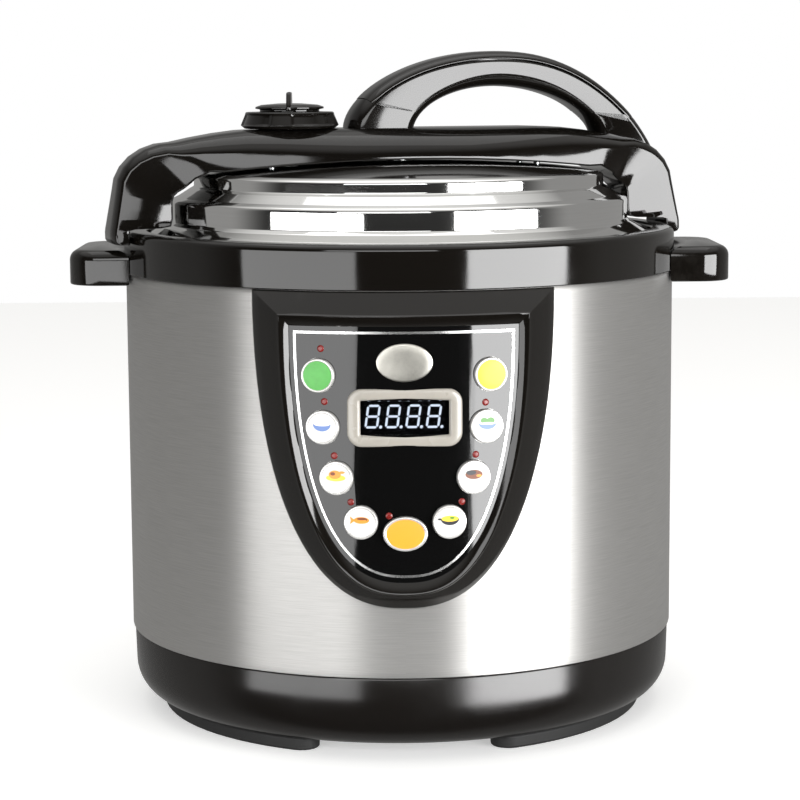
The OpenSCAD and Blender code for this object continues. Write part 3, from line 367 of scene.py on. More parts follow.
# %% Helpers for materials
class Finish:
    """One material: its shader, and short ways to vary what feeds it."""

    def __init__(self, name, colour, roughness, metallic=0.0, **fixed):
        self.material = bpy.data.materials.new(name)
        self.material.use_nodes = True
        self.tree = self.material.node_tree
        self.shader = self.tree.nodes["Principled BSDF"]
        self.shader.inputs["Base Color"].default_value = (*colour, 1)
        self.shader.inputs["Roughness"].default_value = roughness
        self.shader.inputs["Metallic"].default_value = metallic
        self.colour, self.roughness = colour, roughness
        for label, value in fixed.items():
            self.shader.inputs[label.replace("_", " ")].default_value = value

    def place(self, group, output, **values):
        node = self.tree.nodes.new("ShaderNodeGroup")
        node.node_tree = group
        for label, value in values.items():
            node.inputs[label.replace("_", " ")].default_value = value
        return node.outputs[output]

    def tint(self, mask, second):
        mix = self.tree.nodes.new("ShaderNodeMix")
        mix.data_type = "RGBA"
        socket = self.shader.inputs["Base Color"]
        if socket.is_linked:
            self.tree.links.new(socket.links[0].from_socket, mix.inputs[6])
        else:
            mix.inputs[6].default_value = (*self.colour, 1)
        mix.inputs[7].default_value = (*second, 1)
        self.tree.links.new(mask, mix.inputs[0])
        self.tree.links.new(mix.outputs[2], socket)
        return self

    def rough(self, mask, at_one):
        socket = self.shader.inputs["Roughness"]
        span = at_one - self.roughness
        scaled = arithmetic(self.tree, "MULTIPLY", mask, span)
        if socket.is_linked:
            summed = arithmetic(self.tree, "ADD", socket.links[0].from_socket, scaled)
        else:
            summed = arithmetic(self.tree, "ADD", scaled, self.roughness)
        self.tree.links.new(summed, socket)
        return self

    def bump(self, height, distance, strength=1.0):
        node = self.tree.nodes.new("ShaderNodeBump")
        node.inputs["Distance"].default_value = distance
        node.inputs["Strength"].default_value = strength
        self.tree.links.new(height, node.inputs["Height"])
        self.tree.links.new(node.outputs[0], self.shader.inputs["Normal"])
        return self


finishes = {}


def keep(name, finish):
    finishes[name] = finish.material
    return finish


# %% [markdown]
# Glossy black plastic covers the ring, the bridge, the handles and the panel's surround. It
# is a warm black with a hard shine. Smudges dull it slightly, the grain is barely there,
# and outer edges are rubbed a little lighter.

# %% Black plastics
def black_plastic(name, colour, roughness, grain=0.000004, smudge=0.5, wear=0.35):
    finish = Finish(name, colour, roughness, IOR=1.5, Specular_IOR_Level=0.5)
    marks = finish.place(smudge_group, "Mask", Amount=smudge)
    finish.rough(marks, min(roughness + 0.16, 0.9))
    finish.tint(finish.place(wear_group, "Mask", Amount=wear), tuple(c * 2.5 + 0.006 for c in colour))
    finish.tint(finish.place(dust_group, "Mask", Amount=0.12), (0.35, 0.33, 0.3))
    finish.bump(finish.place(grain_group, "Height"), grain)
    return keep(name, finish)


black_plastic("black_gloss", (0.0042, 0.0035, 0.0028), 0.06, smudge=0.35)
black_plastic("base_black", (0.0050, 0.0042, 0.0036), 0.16, grain=0.000008, smudge=0.5)
black_plastic("handle_black", (0.0044, 0.0037, 0.003), 0.09, grain=0.000002, wear=0.1)
black_plastic("label_black", (0.0022, 0.0022, 0.0022), 0.05, grain=0.000001, smudge=0.25, wear=0.0)
black_plastic("inlet_black", (0.012, 0.012, 0.012), 0.42, grain=0.00002)
black_plastic("rubber_black", (0.010, 0.010, 0.010), 0.62, grain=0.00004, wear=0.1)
print("black finishes:", list(finishes))

# %% [markdown]
# Brushed stainless steel needs an anisotropic shader: its fine lines run round the body, so
# a highlight stays sharp sideways and smears up and down. The tangent node gives the
# direction of the lines. On top of that, the lines vary the roughness and the colour a
# little, and soft patches stop it looking computed.

# %% Steels
def brushed_steel(name, colour, roughness, anisotropic, lines, along):
    finish = Finish(name, colour, roughness, 0.88, Anisotropic=anisotropic, Anisotropic_Rotation=0.25)
    tangent = finish.tree.nodes.new("ShaderNodeTangent")
    tangent.direction_type = "RADIAL"
    tangent.axis = "Z"
    finish.tree.links.new(tangent.outputs[0], finish.shader.inputs["Tangent"])
    brushing = finish.place(brush_group, "Lines", Lines_per_metre=lines, Along=along)
    faint = eased(finish.tree, brushing, 0.3, 0.7)
    finish.tint(faint, tuple(c * 0.86 for c in colour))
    finish.rough(faint, roughness + 0.05)
    finish.rough(finish.place(smudge_group, "Mask", Patches_per_metre=9, Amount=0.5), roughness + 0.05)
    finish.bump(brushing, 0.000012, 0.6)
    return keep(name, finish)


def polished_steel():
    colour = (0.83, 0.83, 0.82)
    finish = Finish("polished_steel", colour, 0.045, 1.0)
    brushing = finish.place(brush_group, "Lines", Lines_per_metre=900, Along=2)
    finish.tint(eased(finish.tree, brushing, 0.2, 0.8), tuple(c * 0.95 for c in colour))
    finish.rough(finish.place(smudge_group, "Mask", Patches_per_metre=16, Amount=0.6), 0.13)
    return keep("polished_steel", finish)


brushed_steel("brushed_steel", (0.53, 0.523, 0.509), 0.42, 0.84, 2400, 6)
brushed_steel("pot_steel", (0.62, 0.62, 0.62), 0.33, 0.5, 900, 4)
polished_steel()


def plain_metal(name, colour, roughness, grain=0.00001):
    finish = Finish(name, colour, roughness, 1.0)
    finish.rough(finish.place(smudge_group, "Mask", Patches_per_metre=40, Amount=0.8), roughness + 0.14)
    finish.tint(finish.place(smudge_group, "Mask", Patches_per_metre=70), tuple(c * 0.78 for c in colour))
    finish.bump(finish.place(grain_group, "Height"), grain)
    return keep(name, finish)


plain_metal("zinc_steel", (0.62, 0.63, 0.64), 0.28)
plain_metal("cast_aluminium", (0.66, 0.66, 0.66), 0.42, 0.00005)
plain_metal("pot_aluminium", (0.60, 0.60, 0.61), 0.36)
plain_metal("spring_steel", (0.5, 0.5, 0.51), 0.25)
plain_metal("foil", (0.84, 0.84, 0.85), 0.16, 0.00006)
plain_metal("brass", (0.78, 0.58, 0.26), 0.27)
plain_metal("silver_print", (0.80, 0.80, 0.79), 0.24)
plain_metal("badge_silver", (0.60, 0.585, 0.53), 0.34, 0.00002)
print("metals:", [n for n in finishes if "black" not in n])

# %% [markdown]
# The other plastics and the soft silicone are one function with different numbers: a colour
# with faint patches, a roughness with smudges and a grain. The caps of the buttons are
# glossier than the cream parts inside.

# %% Coloured plastics and silicone
def coloured_plastic(name, colour, roughness, patches=0.9, **fixed):
    finish = Finish(name, colour, roughness, 0.0, **fixed)
    uneven = finish.place(smudge_group, "Mask", Patches_per_metre=60)
    finish.tint(uneven, tuple(c * patches for c in colour))
    smudges = finish.place(smudge_group, "Mask", Patches_per_metre=30, Amount=0.6)
    finish.rough(smudges, min(roughness + 0.15, 1))
    finish.bump(finish.place(grain_group, "Height"), 0.00001)
    return keep(name, finish)


coloured_plastic("switch_plastic", (0.66, 0.60, 0.48), 0.45)
coloured_plastic("circuit_green", (0.02, 0.13, 0.05), 0.32)
coloured_plastic("part_blue", (0.03, 0.08, 0.28), 0.35)
coloured_plastic("wire_red", (0.42, 0.02, 0.015), 0.5)
coloured_plastic("frame_grey", (0.31, 0.29, 0.255), 0.27, Coat_Weight=0.3, Coat_Roughness=0.1)
coloured_plastic("lamp_red", (0.16, 0.008, 0.006), 0.22)
coloured_plastic("membrane", (0.48, 0.47, 0.42), 0.4)
coloured_plastic("silicone", (0.74, 0.73, 0.70), 0.48, Subsurface_Weight=0.25, Subsurface_Scale=0.002)
coloured_plastic("cup_clear", (0.62, 0.66, 0.68), 0.22, Transmission_Weight=0.55, IOR=1.45)
coloured_plastic("float_red", (0.5, 0.03, 0.02), 0.3)
coloured_plastic("button_green", (0.075, 0.36, 0.06), 0.38, patches=0.8)
coloured_plastic("button_yellow", (0.93, 0.80, 0.015), 0.38, patches=0.95)
coloured_plastic("button_orange", (0.93, 0.30, 0.025), 0.38, patches=0.95)
coloured_plastic("button_white", (0.62, 0.61, 0.585), 0.38, patches=0.96)
coloured_plastic("button_rim", (0.62, 0.61, 0.59), 0.24, Metallic=0.5)
coloured_plastic("ink_blue", (0.10, 0.18, 0.42), 0.3)
coloured_plastic("ink_green", (0.06, 0.22, 0.03), 0.3)
coloured_plastic("ink_orange", (0.72, 0.26, 0.03), 0.3)
coloured_plastic("ink_brown", (0.16, 0.045, 0.015), 0.3)
coloured_plastic("ink_yellow", (0.80, 0.55, 0.05), 0.3)
coloured_plastic("ink_dark", (0.02, 0.02, 0.025), 0.3)
coloured_plastic("ink_pale", (0.78, 0.78, 0.76), 0.3)
print("plastics ready,", len(finishes), "finishes in all")

# %% [markdown]
# The display has a smoked window in front of lit segments. The window lets light through
# with a dark tint, and the segments shine on their own with a cool white.

# %% Display finishes
def smoked_window():
    finish = Finish("smoke_window", (0.22, 0.22, 0.24), 0.03, 0.0, Transmission_Weight=1.0, IOR=1.2)
    finish.rough(finish.place(smudge_group, "Mask", Patches_per_metre=30, Amount=0.5), 0.12)
    return keep("smoke_window", finish)


def lit_segment():
    finish = Finish("digit_white", (0.8, 0.85, 0.9), 0.4, 0.0, Emission_Strength=4.0)
    finish.shader.inputs["Emission Color"].default_value = (0.82, 0.92, 1.0, 1)
    finish.tint(finish.place(smudge_group, "Mask", Patches_per_metre=200), (0.7, 0.76, 0.82))
    return keep("digit_white", finish)


smoked_window()
lit_segment()
print("display finishes ready")

# %% [markdown]
# Every part of the frame first gets the finish of its own material slot. Parts that stay
# hidden inside keep that, and the visible ones are rebuilt below with rounder edges and
# finer curves.

# %% Finishes on the frame's parts
slot_of = {entry["node"]: entry["material_slot"] for entry in frame["record"]["subparts"]}


def dress(node):
    part = frame["nodes"][node]
    part.data.materials.clear()
    part.data.materials.append(finishes[slot_of[node]])


for node in frame["nodes"]:
    dress(node)
print("dressed", len(slot_of), "parts")

# %% [markdown]
# New pieces are plain meshes made from points. One helper makes the object, gives it its
# finishes, smooths what should look smooth and ties it to the body it moves with. Another
# adds a small rounded edge, because no real edge is razor sharp and only a rounded one
# catches the light.

# %% Helper that makes a piece
smooth_angle = math.radians(38)
moulding_angle = math.radians(50)


def make_piece(name, points, faces, body, looks, stands_for=(), angle=smooth_angle):
    mesh = bpy.data.meshes.new(name)
    mesh.from_pydata([tuple(p) for p in points], [], faces)
    mesh.validate()
    shell = bmesh.new()
    shell.from_mesh(mesh)
    bmesh.ops.recalc_face_normals(shell, faces=shell.faces)
    shell.to_mesh(mesh)
    shell.free()
    for look in looks:
        mesh.materials.append(finishes[look])
    mesh.shade_smooth()
    mesh.set_sharp_from_angle(angle=angle)
    piece = bpy.data.objects.new(name, mesh)
    bpy.context.scene.collection.objects.link(piece)
    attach(piece, body)
    if stands_for:
        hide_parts(*stands_for)
    return piece


def round_edges(piece, width, segments=3, angle=40):
    bevel = piece.modifiers.new("rounded_edges", "BEVEL")
    bevel.width = width
    bevel.segments = segments
    bevel.limit_method = "ANGLE"
    bevel.angle_limit = math.radians(angle)
    bevel.use_clamp_overlap = True
    bevel.harden_normals = False
    even = piece.modifiers.new("even_shading", "WEIGHTED_NORMAL")
    even.keep_sharp = True
    return piece


# %% [markdown]
# Some parts already have the right shape and only want softer edges. This helper copies a
# part's own mesh to a new piece, joins its loose corners, smooths it and rounds the edges.

# %% Helper that softens a part of the frame
body_of_node = {n: b for b, nodes in frame["record"]["behaviour"]["bodies"].items() for n in nodes}


def soften(node, width, segments=2, angle=30):
    source = frame["nodes"][node].data
    mesh = source.copy()
    mesh.name = node + "_finished"
    joined = bmesh.new()
    joined.from_mesh(mesh)
    bmesh.ops.remove_doubles(joined, verts=joined.verts, dist=0.002 * mm)
    bmesh.ops.dissolve_limit(joined, angle_limit=math.radians(0.5), verts=joined.verts,
                             edges=joined.edges, delimit={"NORMAL"})
    joined.to_mesh(mesh)
    joined.free()
    mesh.shade_smooth()
    mesh.set_sharp_from_angle(angle=math.radians(angle))
    mesh.materials.clear()
    mesh.materials.append(finishes[slot_of[node]])
    piece = bpy.data.objects.new(node + "_finished", mesh)
    bpy.context.scene.collection.objects.link(piece)
    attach(piece, body_of_node[node])
    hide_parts(node)
    if width:
        round_edges(piece, width, segments, angle=angle + 5)
    return piece


# %% [markdown]
# Round parts are turned from a profile, like on a lathe. A profile is a list of corners,
# and each corner may have a rounding radius. The helper replaces such a corner by a short
# arc, so one number is enough to soften an edge.

# %% Helpers for turned parts
def rounded(corners, closed=True, steps=5):
    """Corners are (across, up) or (across, up, radius), in metres."""
    line = []
    count = len(corners)
    for i, corner in enumerate(corners):
        here = Vector(corner[:2])
        radius = corner[2] if len(corner) > 2 else 0
        at_end = not closed and i in (0, count - 1)
        if not radius or at_end:
            line.append(here)
            continue
        before = (Vector(corners[i - 1][:2]) - here)
        after = (Vector(corners[(i + 1) % count][:2]) - here)
        half = before.angle(after) / 2
        reach = min(radius / math.tan(half), before.length * 0.49, after.length * 0.49)
        true_radius = reach * math.tan(half)
        inward = (before.normalized() + after.normalized()).normalized()
        middle = here + inward * (true_radius / math.sin(half))
        start = here + before.normalized() * reach - middle
        end = here + after.normalized() * reach - middle
        sweep = start.angle_signed(end)
        for k in range(steps + 1):
            a = -sweep * k / steps
            line.append(middle + Vector((start.x * math.cos(a) - start.y * math.sin(a),
                                         start.x * math.sin(a) + start.y * math.cos(a))))
    return line


def turned(line, closed=True, columns=224):
    """Points and faces of a profile turned round the vertical axis."""
    points, faces, rows = [], [], []
    for p in line:
        if p[0] < 1e-7:
            rows.append([len(points)] * columns)
            points.append((0, 0, p[1]))
        else:
            rows.append([len(points) + k for k in range(columns)])
            for k in range(columns):
                a = 2 * math.pi * k / columns
                points.append((p[0] * math.cos(a), p[0] * math.sin(a), p[1]))
    pairs = len(rows) if closed else len(rows) - 1
    for i in range(pairs):
        low, high = rows[i], rows[(i + 1) % len(rows)]
        for k in range(columns):
            n = (k + 1) % columns
            face = []
            for v in (low[k], low[n], high[n], high[k]):
                if v not in face:
                    face.append(v)
            if len(face) > 2:
                faces.append(face)
    return points, faces


def scaled(corners):
    """Corners written in millimetres, as metres."""
    return [tuple(v * mm for v in corner) for corner in corners]


# %% [markdown]
# The base is one deep moulding with a generous round at its foot. The round is what makes
# its reflection slide from the soft boxes down to the table.

# %% Base and feet
base_top = seam_height / mm
base_r = base_radius / mm
foot_h = bottom_of("base") / mm
floor_in = radius_of("base_plate") / mm

base_profile = scaled([
    (floor_in + 0.4, foot_h), (base_r - 1, foot_h, 17), (base_r, base_top - 1.2, 0),
    (base_r - 0.6, base_top - 0.1, 0.5), (base_r - 2.4, base_top - 0.1), (base_r - 2.4, base_top + 5),
    (base_r - 4.5, base_top + 5), (base_r - 4.5, base_top - 6), (base_r - 2.6, base_top - 12),
    (base_r - 3.2, foot_h + 3, 14), (floor_in - 12, foot_h + 3), (floor_in - 12, foot_h + 1.5),
    (floor_in + 0.4, foot_h + 1.5)])
points, faces = turned(rounded(base_profile, steps=12))
make_piece("base_moulding", points, faces, "housing", ["base_black"], ["base"])
soften("feet", 1.2 * mm, 3)
soften("base_plate", 0.2 * mm, 1)
print("base turned:", len(faces), "faces")

# %% [markdown]
# The shell is a rolled steel sheet with a window behind the control panel. It is a grid of
# bearings and heights. Faces inside the window are left out, and a solidify modifier gives
# the sheet its thickness inwards. The bottom edge is turned in a little, as a hemmed sheet.

# %% Outline of the shield
panel_w, panel_h = 70.5, 148.0
panel_top_z = top_of("control_bezel") / mm


def shield_half_width(width, share):
    return width * max(1 - share ** 2.2, 0) ** 0.4


def inside_shield(x, z, width, top, height):
    share = (top - z) / height
    return 0 <= share <= 1 and abs(x) < shield_half_width(width, share)


def shield_outline(width, top, height, side_steps=46, top_steps=16):
    """Corner to corner down the right side, round the tip, up the left and back along the top."""
    line = []
    for i in range(side_steps + 1):
        share = math.sin(math.pi / 2 * i / side_steps)
        line.append((shield_half_width(width, share), top - height * share))
    line += [(-x, z) for x, z in reversed(line[:-1])]
    left = line[-1][0]
    for i in range(1, top_steps):
        line.append((left - 2 * left * i / top_steps, top))
    return line


ridge_w, ridge_top, ridge_h = panel_w - 12.5, panel_top_z - 10.5, panel_h - 18.5
border_w, border_top, border_h = ridge_w - 7, ridge_top - 7.3, ridge_h - 15
print("shield outline has", len(shield_outline(panel_w, panel_top_z, panel_h)), "points")

# %% Steel shell
shell_t = 0.7 * mm


def steel_shell():
    columns = 384
    low, high = seam_height, top_of("steel_shell")
    heights = [low, low + 0.25 * mm, low + 0.8 * mm]
    heights += [low + 0.8 * mm + (high - low - 0.8 * mm) * i / 60 for i in range(1, 61)]
    tucks = [0.45 * mm, 0.12 * mm] + [0] * (len(heights) - 2)
    points, faces = [], []
    for z, tuck in zip(heights, tucks):
        for k in range(columns):
            a = 2 * math.pi * k / columns
            r = shell_radius - tuck
            points.append((r * math.sin(a), -r * math.cos(a), z))
    for j in range(len(heights) - 1):
        for k in range(columns):
            n = (k + 1) % columns
            a = 2 * math.pi * (k + 0.5) / columns
            x, y = shell_radius * math.sin(a) / mm, -math.cos(a)
            z = (heights[j] + heights[j + 1]) / 2 / mm
            if y < 0 and inside_shield(x, z, ridge_w - 4, ridge_top - 3, ridge_h - 6):
                continue
            if y > 0 and abs(x) < inlet_hole_w / 2 and abs(z - inlet_middle) < inlet_hole_h / 2:
                continue
            faces.append((j * columns + k, j * columns + n, (j + 1) * columns + n, (j + 1) * columns + k))
    shell = make_piece("rolled_shell", points, faces, "housing", ["brushed_steel"], ["steel_shell"])
    sheet = shell.modifiers.new("sheet", "SOLIDIFY")
    sheet.thickness = shell_t
    sheet.offset = -1
    return shell


inlet_middle = middle_of("power_inlet").z / mm
inlet_hole_w, inlet_hole_h = 30, 18
shell = steel_shell()
print("shell:", len(shell.data.polygons), "faces")

# %% [markdown]
# The top ring has a broad outer wall, a soft lip and a trough inside that catches what drips
# from the lid. The drain at the back is part of the same moulding, so it sits in the ring's
# wall as a block whose edges are rounded.

# %% Top ring
shell_r = shell_radius / mm
ring_r = shell_r + 0.8
ring_in = (radius_of("lid") / mm) + 1.4
ring_low, ring_high = ring_bottom / mm, ring_top / mm
trough = ring_low + 2.5
pot_wall_r = ring_in - 11

ring_profile = scaled([
    (pot_wall_r, ring_low), (ring_in + 3, ring_low), (ring_in + 3, ring_high - 4),
    (ring_r - 3, ring_high - 4),
    (ring_r - 3, ring_low), (ring_r, ring_low, 0.5), (ring_r, ring_high, 3.2), (ring_in, ring_high, 1.6),
    (ring_in, trough, 1.5), (pot_wall_r, trough)])
points, faces = turned(rounded(ring_profile, steps=8), columns=288)
make_piece("ring_moulding", points, faces, "housing", ["black_gloss"], ["top_ring"])


def block(name, low, high, body, look, edge):
    """A box with rounded edges, from its two corners in millimetres."""
    x0, y0, z0, x1, y1, z1 = (v * mm for v in (*low, *high))
    points = [(x0, y0, z0), (x1, y0, z0), (x1, y1, z0), (x0, y1, z0),
              (x0, y0, z1), (x1, y0, z1), (x1, y1, z1), (x0, y1, z1)]
    faces = [(0, 3, 2, 1), (4, 5, 6, 7), (0, 1, 5, 4), (1, 2, 6, 5), (2, 3, 7, 6), (3, 0, 4, 7)]
    return round_edges(make_piece(name, points, faces, body, [look]), edge * mm)


spout_half = 8
block("drain_spout", (-spout_half, ring_r - 5, ring_low - 10), (spout_half, shell_r + 11, ring_low + 2.5),
      "housing", "black_gloss", 1.2)
print("ring turned:", len(faces), "faces")

# %% [markdown]
# Mouldings that are not round are lofts. A loft is a row of closed rings with the same
# number of points, joined side to side and closed at both ends. One helper draws a rounded
# rectangle between two points of an arch, and the other joins rings into a mesh.

# %% Helpers for lofted mouldings
def section(outer, inner, half_width, outer_round, inner_round, steps):
    """A rounded rectangle between two points of the arch, as points (along, across, up)."""
    rise = outer - inner
    depth = rise.length
    up = rise.normalized()
    ou, ov = outer_round[0], min(outer_round[1], depth * 0.86)
    iu, iv = inner_round[0], min(inner_round[1], depth - ov - 0.2)
    corners = [(1, 1, ou, ov), (-1, 1, ou, ov), (-1, -1, iu, iv), (1, -1, iu, iv)]
    ring = []
    for quarter, (su, sv, ru, rv) in enumerate(corners):
        centre_u = su * (half_width - ru)
        centre_v = depth - rv if sv > 0 else rv
        for k in range(steps + 1):
            a = math.radians(90 * (quarter + k / steps))
            u = centre_u + ru * math.cos(a)
            v = centre_v + rv * math.sin(a)
            place = inner + up * v
            ring.append(Vector((place[0], u, place[1])))
    return ring


def lofted(rings, turn_by=0.0, caps=True):
    """Points and faces through rings of equal length, in millimetres, turned about the axis."""
    points, faces = [], []
    spin = Matrix.Rotation(turn_by, 3, "Z")
    size = len(rings[0])
    for ring in rings:
        for p in ring:
            points.append((spin @ Vector(p)) * mm)
    for i in range(len(rings) - 1):
        for k in range(size):
            n = (k + 1) % size
            faces.append((i * size + k, i * size + n, (i + 1) * size + n, (i + 1) * size + k))
    if caps:
        faces.append(tuple(reversed(range(size))))
        faces.append(tuple(range((len(rings) - 1) * size, len(rings) * size)))
    return points, faces


# %% [markdown]
# A side handle is a hollow grip that the fingertips curl under. It is drawn as rings of one
# outline, each set in a little from the last: up the hollow's wall, round the bottom edge,
# up the outside and over a broad rounded shoulder to the flat top. Its inner side follows
# the ring, so it sits against it without a gap.

# %% Side handles
grip_low, grip_top = bottom_of("side_handle_right") / mm, top_of("side_handle_right") / mm
grip_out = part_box("side_handle_right")[1].x / mm
grip_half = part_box("side_handle_right")[1].y / mm
grip_round, grip_wall, shoulder_r = 16.0, 4.0, 5.0


def grip_outline(inset, extra=0.0):
    """Plan of a grip, set in from its edge, anticlockwise from the ring's side."""
    inner = ring_r + 0.3 + inset + extra
    half = grip_half - inset
    line = []
    for k in range(15):
        y = half - 2 * half * k / 14
        line.append((math.sqrt(inner ** 2 - y ** 2), y))
    radius = grip_round - inset
    for sign, start in ((-1, -90), (1, 0)):
        for k in range(10):
            a = math.radians(start + 10 * k)
            line.append((grip_out - grip_round + radius * math.cos(a),
                         sign * (grip_half - grip_round) + radius * math.sin(a)))
    return line


def side_handle(side, sign):
    angles = [math.radians(a) for a in range(0, 91, 15)]
    shoulder = [(shoulder_r * (1 - math.cos(a)), grip_top - shoulder_r * (1 - math.sin(a))) for a in angles]
    ceiling = grip_top - grip_wall
    hollow = [(grip_wall + 1.6, ceiling), (grip_wall + 0.6, ceiling - 0.5), (grip_wall + 0.1, ceiling - 2),
              (grip_wall, grip_low + 1.0), (grip_wall - 0.3, grip_low + 0.2)]
    outside = [(grip_wall - 0.9, grip_low), (0.9, grip_low), (0.25, grip_low + 0.25), (0, grip_low + 0.9)]
    rings = [[Vector((sign * x, y, z)) for x, y in grip_outline(inset, 1.4)] for inset, z in hollow]
    rings += [[Vector((sign * x, y, z)) for x, y in grip_outline(inset)] for inset, z in outside + shoulder]
    points, faces = lofted(rings)
    make_piece(f"grip_{side}", points, faces, "housing", ["black_gloss"], [f"side_handle_{side}"],
               angle=moulding_angle)


side_handle("left", -1)
side_handle("right", 1)
print("side handles lofted")

# %% [markdown]
# The lid is pressed from polished steel in steps: a sloping flange that hangs inside the
# ring, an upright wall, a shoulder, a small step and a shallow dome. A mirror finish shows
# every kink, so each bend has its own radius and the lathe takes many steps.

# %% Lid
lid_r = radius_of("lid") / mm
lid_low = bottom_of("lid") / mm
lid_high = lid_top / mm
wall_r = lid_r - 10.6
step_r = wall_r - 12.2
sheet_t = 1.2
dome_drop = 6.0
flange_z = ring_high - 2
wall_low = flange_z + 6
wall_high = wall_low + 10.5
step_low = wall_high + 7
step_high = step_low + 5


def dome_arc(top, reach, steps=18):
    return [(reach * (1 - i / steps), top - dome_drop * (reach * (1 - i / steps) / (step_r - 2.8)) ** 2)
            for i in range(steps + 1)]


lid_outside = [
    (lid_r, lid_low), (lid_r, flange_z + 0.3, 1.6), (wall_r + 1.5, wall_low - 1.2, 2.2),
    (wall_r, wall_low + 0.6, 0.8), (wall_r, wall_high + 0.2, 2.4), (wall_r - 4, wall_high + 2, 5),
    (step_r + 2.2, step_low - 1.2, 3), (step_r, step_low, 1.0), (step_r, step_high + 0.4, 1.8),
    (step_r - 2.8, step_high + 2, 1.6)]
lid_inside = [
    (step_r - 2.8, step_high + 2 - sheet_t), (step_r - sheet_t, step_high - 0.6),
    (step_r - sheet_t, step_low - 0.6), (step_r + 1.2, step_low - 1 - sheet_t),
    (wall_r - 4.5, wall_high + 2 - sheet_t), (wall_r - sheet_t, wall_high - 0.8),
    (wall_r - sheet_t, wall_low - 0.6), (wall_r + 1.3, wall_low - 2.6), (lid_r - sheet_t, flange_z - 0.8),
    (lid_r - sheet_t, lid_low)]
lid_line = rounded(scaled(lid_outside), closed=False, steps=7)
lid_line += [Vector(p) for p in scaled(dome_arc(lid_high, step_r - 4.4))]
lid_line += [Vector(p) for p in scaled(list(reversed(dome_arc(lid_high - sheet_t, step_r - 4.4))))]
lid_line += [Vector(p) for p in scaled(lid_inside)]


lug_count, lug_arc, lug_in, lug_t = 10, 15.0, 119.5, 2.0


def bayonet_lug(index):
    """One lug as a short curved bar on the inside of the skirt."""
    steps = 6
    middle = 360 / lug_count * (index + 0.5)
    lug_out, lug_top = lid_r - 0.5, lid_low + lug_t
    points, faces = [], []
    for k in range(steps + 1):
        a = math.radians(middle - lug_arc / 2 + lug_arc * k / steps)
        for r, z in ((lug_in, lid_low), (lug_out, lid_low), (lug_out, lug_top), (lug_in, lug_top)):
            points.append((r * mm * math.cos(a), r * mm * math.sin(a), z * mm))
    for k in range(steps):
        for j in range(4):
            n = (j + 1) % 4
            faces.append((4 * k + j, 4 * k + n, 4 * k + 4 + n, 4 * k + 4 + j))
    faces += [(0, 1, 2, 3), tuple(4 * steps + j for j in range(4))]
    return points, faces


def add_to(points, faces, more_points, more_faces):
    start = len(points)
    points += more_points
    faces += [tuple(start + v for v in face) for face in more_faces]


points, faces = turned(lid_line, columns=320)
for index in range(lug_count):
    add_to(points, faces, *bayonet_lug(index))
make_piece("lid_pressing", points, faces, "lid", ["polished_steel"], ["lid"])
print("lid turned:", len(faces), "faces")

# %% [markdown]
# The bridge is a moulded arch that leaves the lid at both sides and hooks over the ring. It
# is a loft: at each station along the arch there is an outer point and an inner point, and
# a rounded rectangle is drawn between them, as wide as the leaf-shaped plan is there. Its
# crown edges are rounder in the middle than at the legs, and its sides lean out a little
# from the crown down, as a moulding needs to come out of its tool.

# %% Plan of the bridge
bridge_half = 151.0
bridge_mid_w, bridge_end_w = 32.0, 7.0
bow = (bridge_half ** 2 + (bridge_mid_w - bridge_end_w) ** 2) / (2 * (bridge_mid_w - bridge_end_w))


def bridge_width(t):
    return bridge_mid_w - bow + math.sqrt(bow ** 2 - t ** 2)


# %% Bridge
crown_z = bridge_top / mm
leg_z = bottom_of("arm_cover") / mm
leg_in = ring_r + 0.8
inner_r = wall_r + 3
lean, corner_w, corner_h, crown_drop = 3.6, 29.4, 24.0, 6.0
side_lean = 0.15
corner_t = bridge_half - lean - corner_w
corner_z = crown_z - crown_drop - corner_h
dome_reach = step_r - 2.8


def corner_point(angle):
    a = math.radians(angle)
    return (corner_t + corner_w * math.cos(a), corner_z + corner_h * math.sin(a))


def over_dome(t):
    return (t, lid_high - dome_drop * (t / dome_reach) ** 2 + 0.6)


stations = [
    ((bridge_half - 2.4, leg_z + 0.1), (leg_in + 0.8, leg_z)),
    ((bridge_half - 1.2, leg_z + 0.5), (leg_in + 0.2, leg_z + 0.4)),
    ((bridge_half - 0.2, leg_z + 2), (leg_in, leg_z + 1.5)),
    ((bridge_half - 0.1, leg_z + 5.5), (leg_in, ring_high + 1.6)),
    ((bridge_half - 0.3, leg_z + 7.5), (leg_in - 3, ring_high + 2.2)),
    ((bridge_half - 0.8, leg_z + 10), (inner_r + 6, ring_high + 2.4)),
    ((bridge_half - 1.3, leg_z + 13), (inner_r + 1, ring_high + 3.2)),
    ((bridge_half - 2.2, leg_z + 18), (inner_r, ring_high + 7)),
    (corner_point(0), (inner_r, ring_high + 12)),
    (corner_point(15), (inner_r, ring_high + 15.5)),
    (corner_point(30), (inner_r - 0.8, wall_high + 3.6)),
    (corner_point(45), (inner_r - 2.4, wall_high + 5.4)),
    (corner_point(60), (inner_r - 5.5, wall_high + 7.4)),
    (corner_point(75), (step_r + 6.2, step_low + 3.4)),
    (corner_point(90), (step_r + 5, step_high)),
    ((corner_t - 10, crown_z - 4), (dome_reach + 0.5, lid_high - dome_drop + 1.6)),
    ((corner_t - 22, crown_z - 2), over_dome(dome_reach - 7)),
    ((corner_t - 34, crown_z - 0.6), over_dome(dome_reach - 18)),
    ((corner_t - 50, crown_z), over_dome(corner_t - 50)),
    ((50, crown_z), over_dome(50)),
    ((32, crown_z), over_dome(32)),
    ((16, crown_z), over_dome(16)),
]


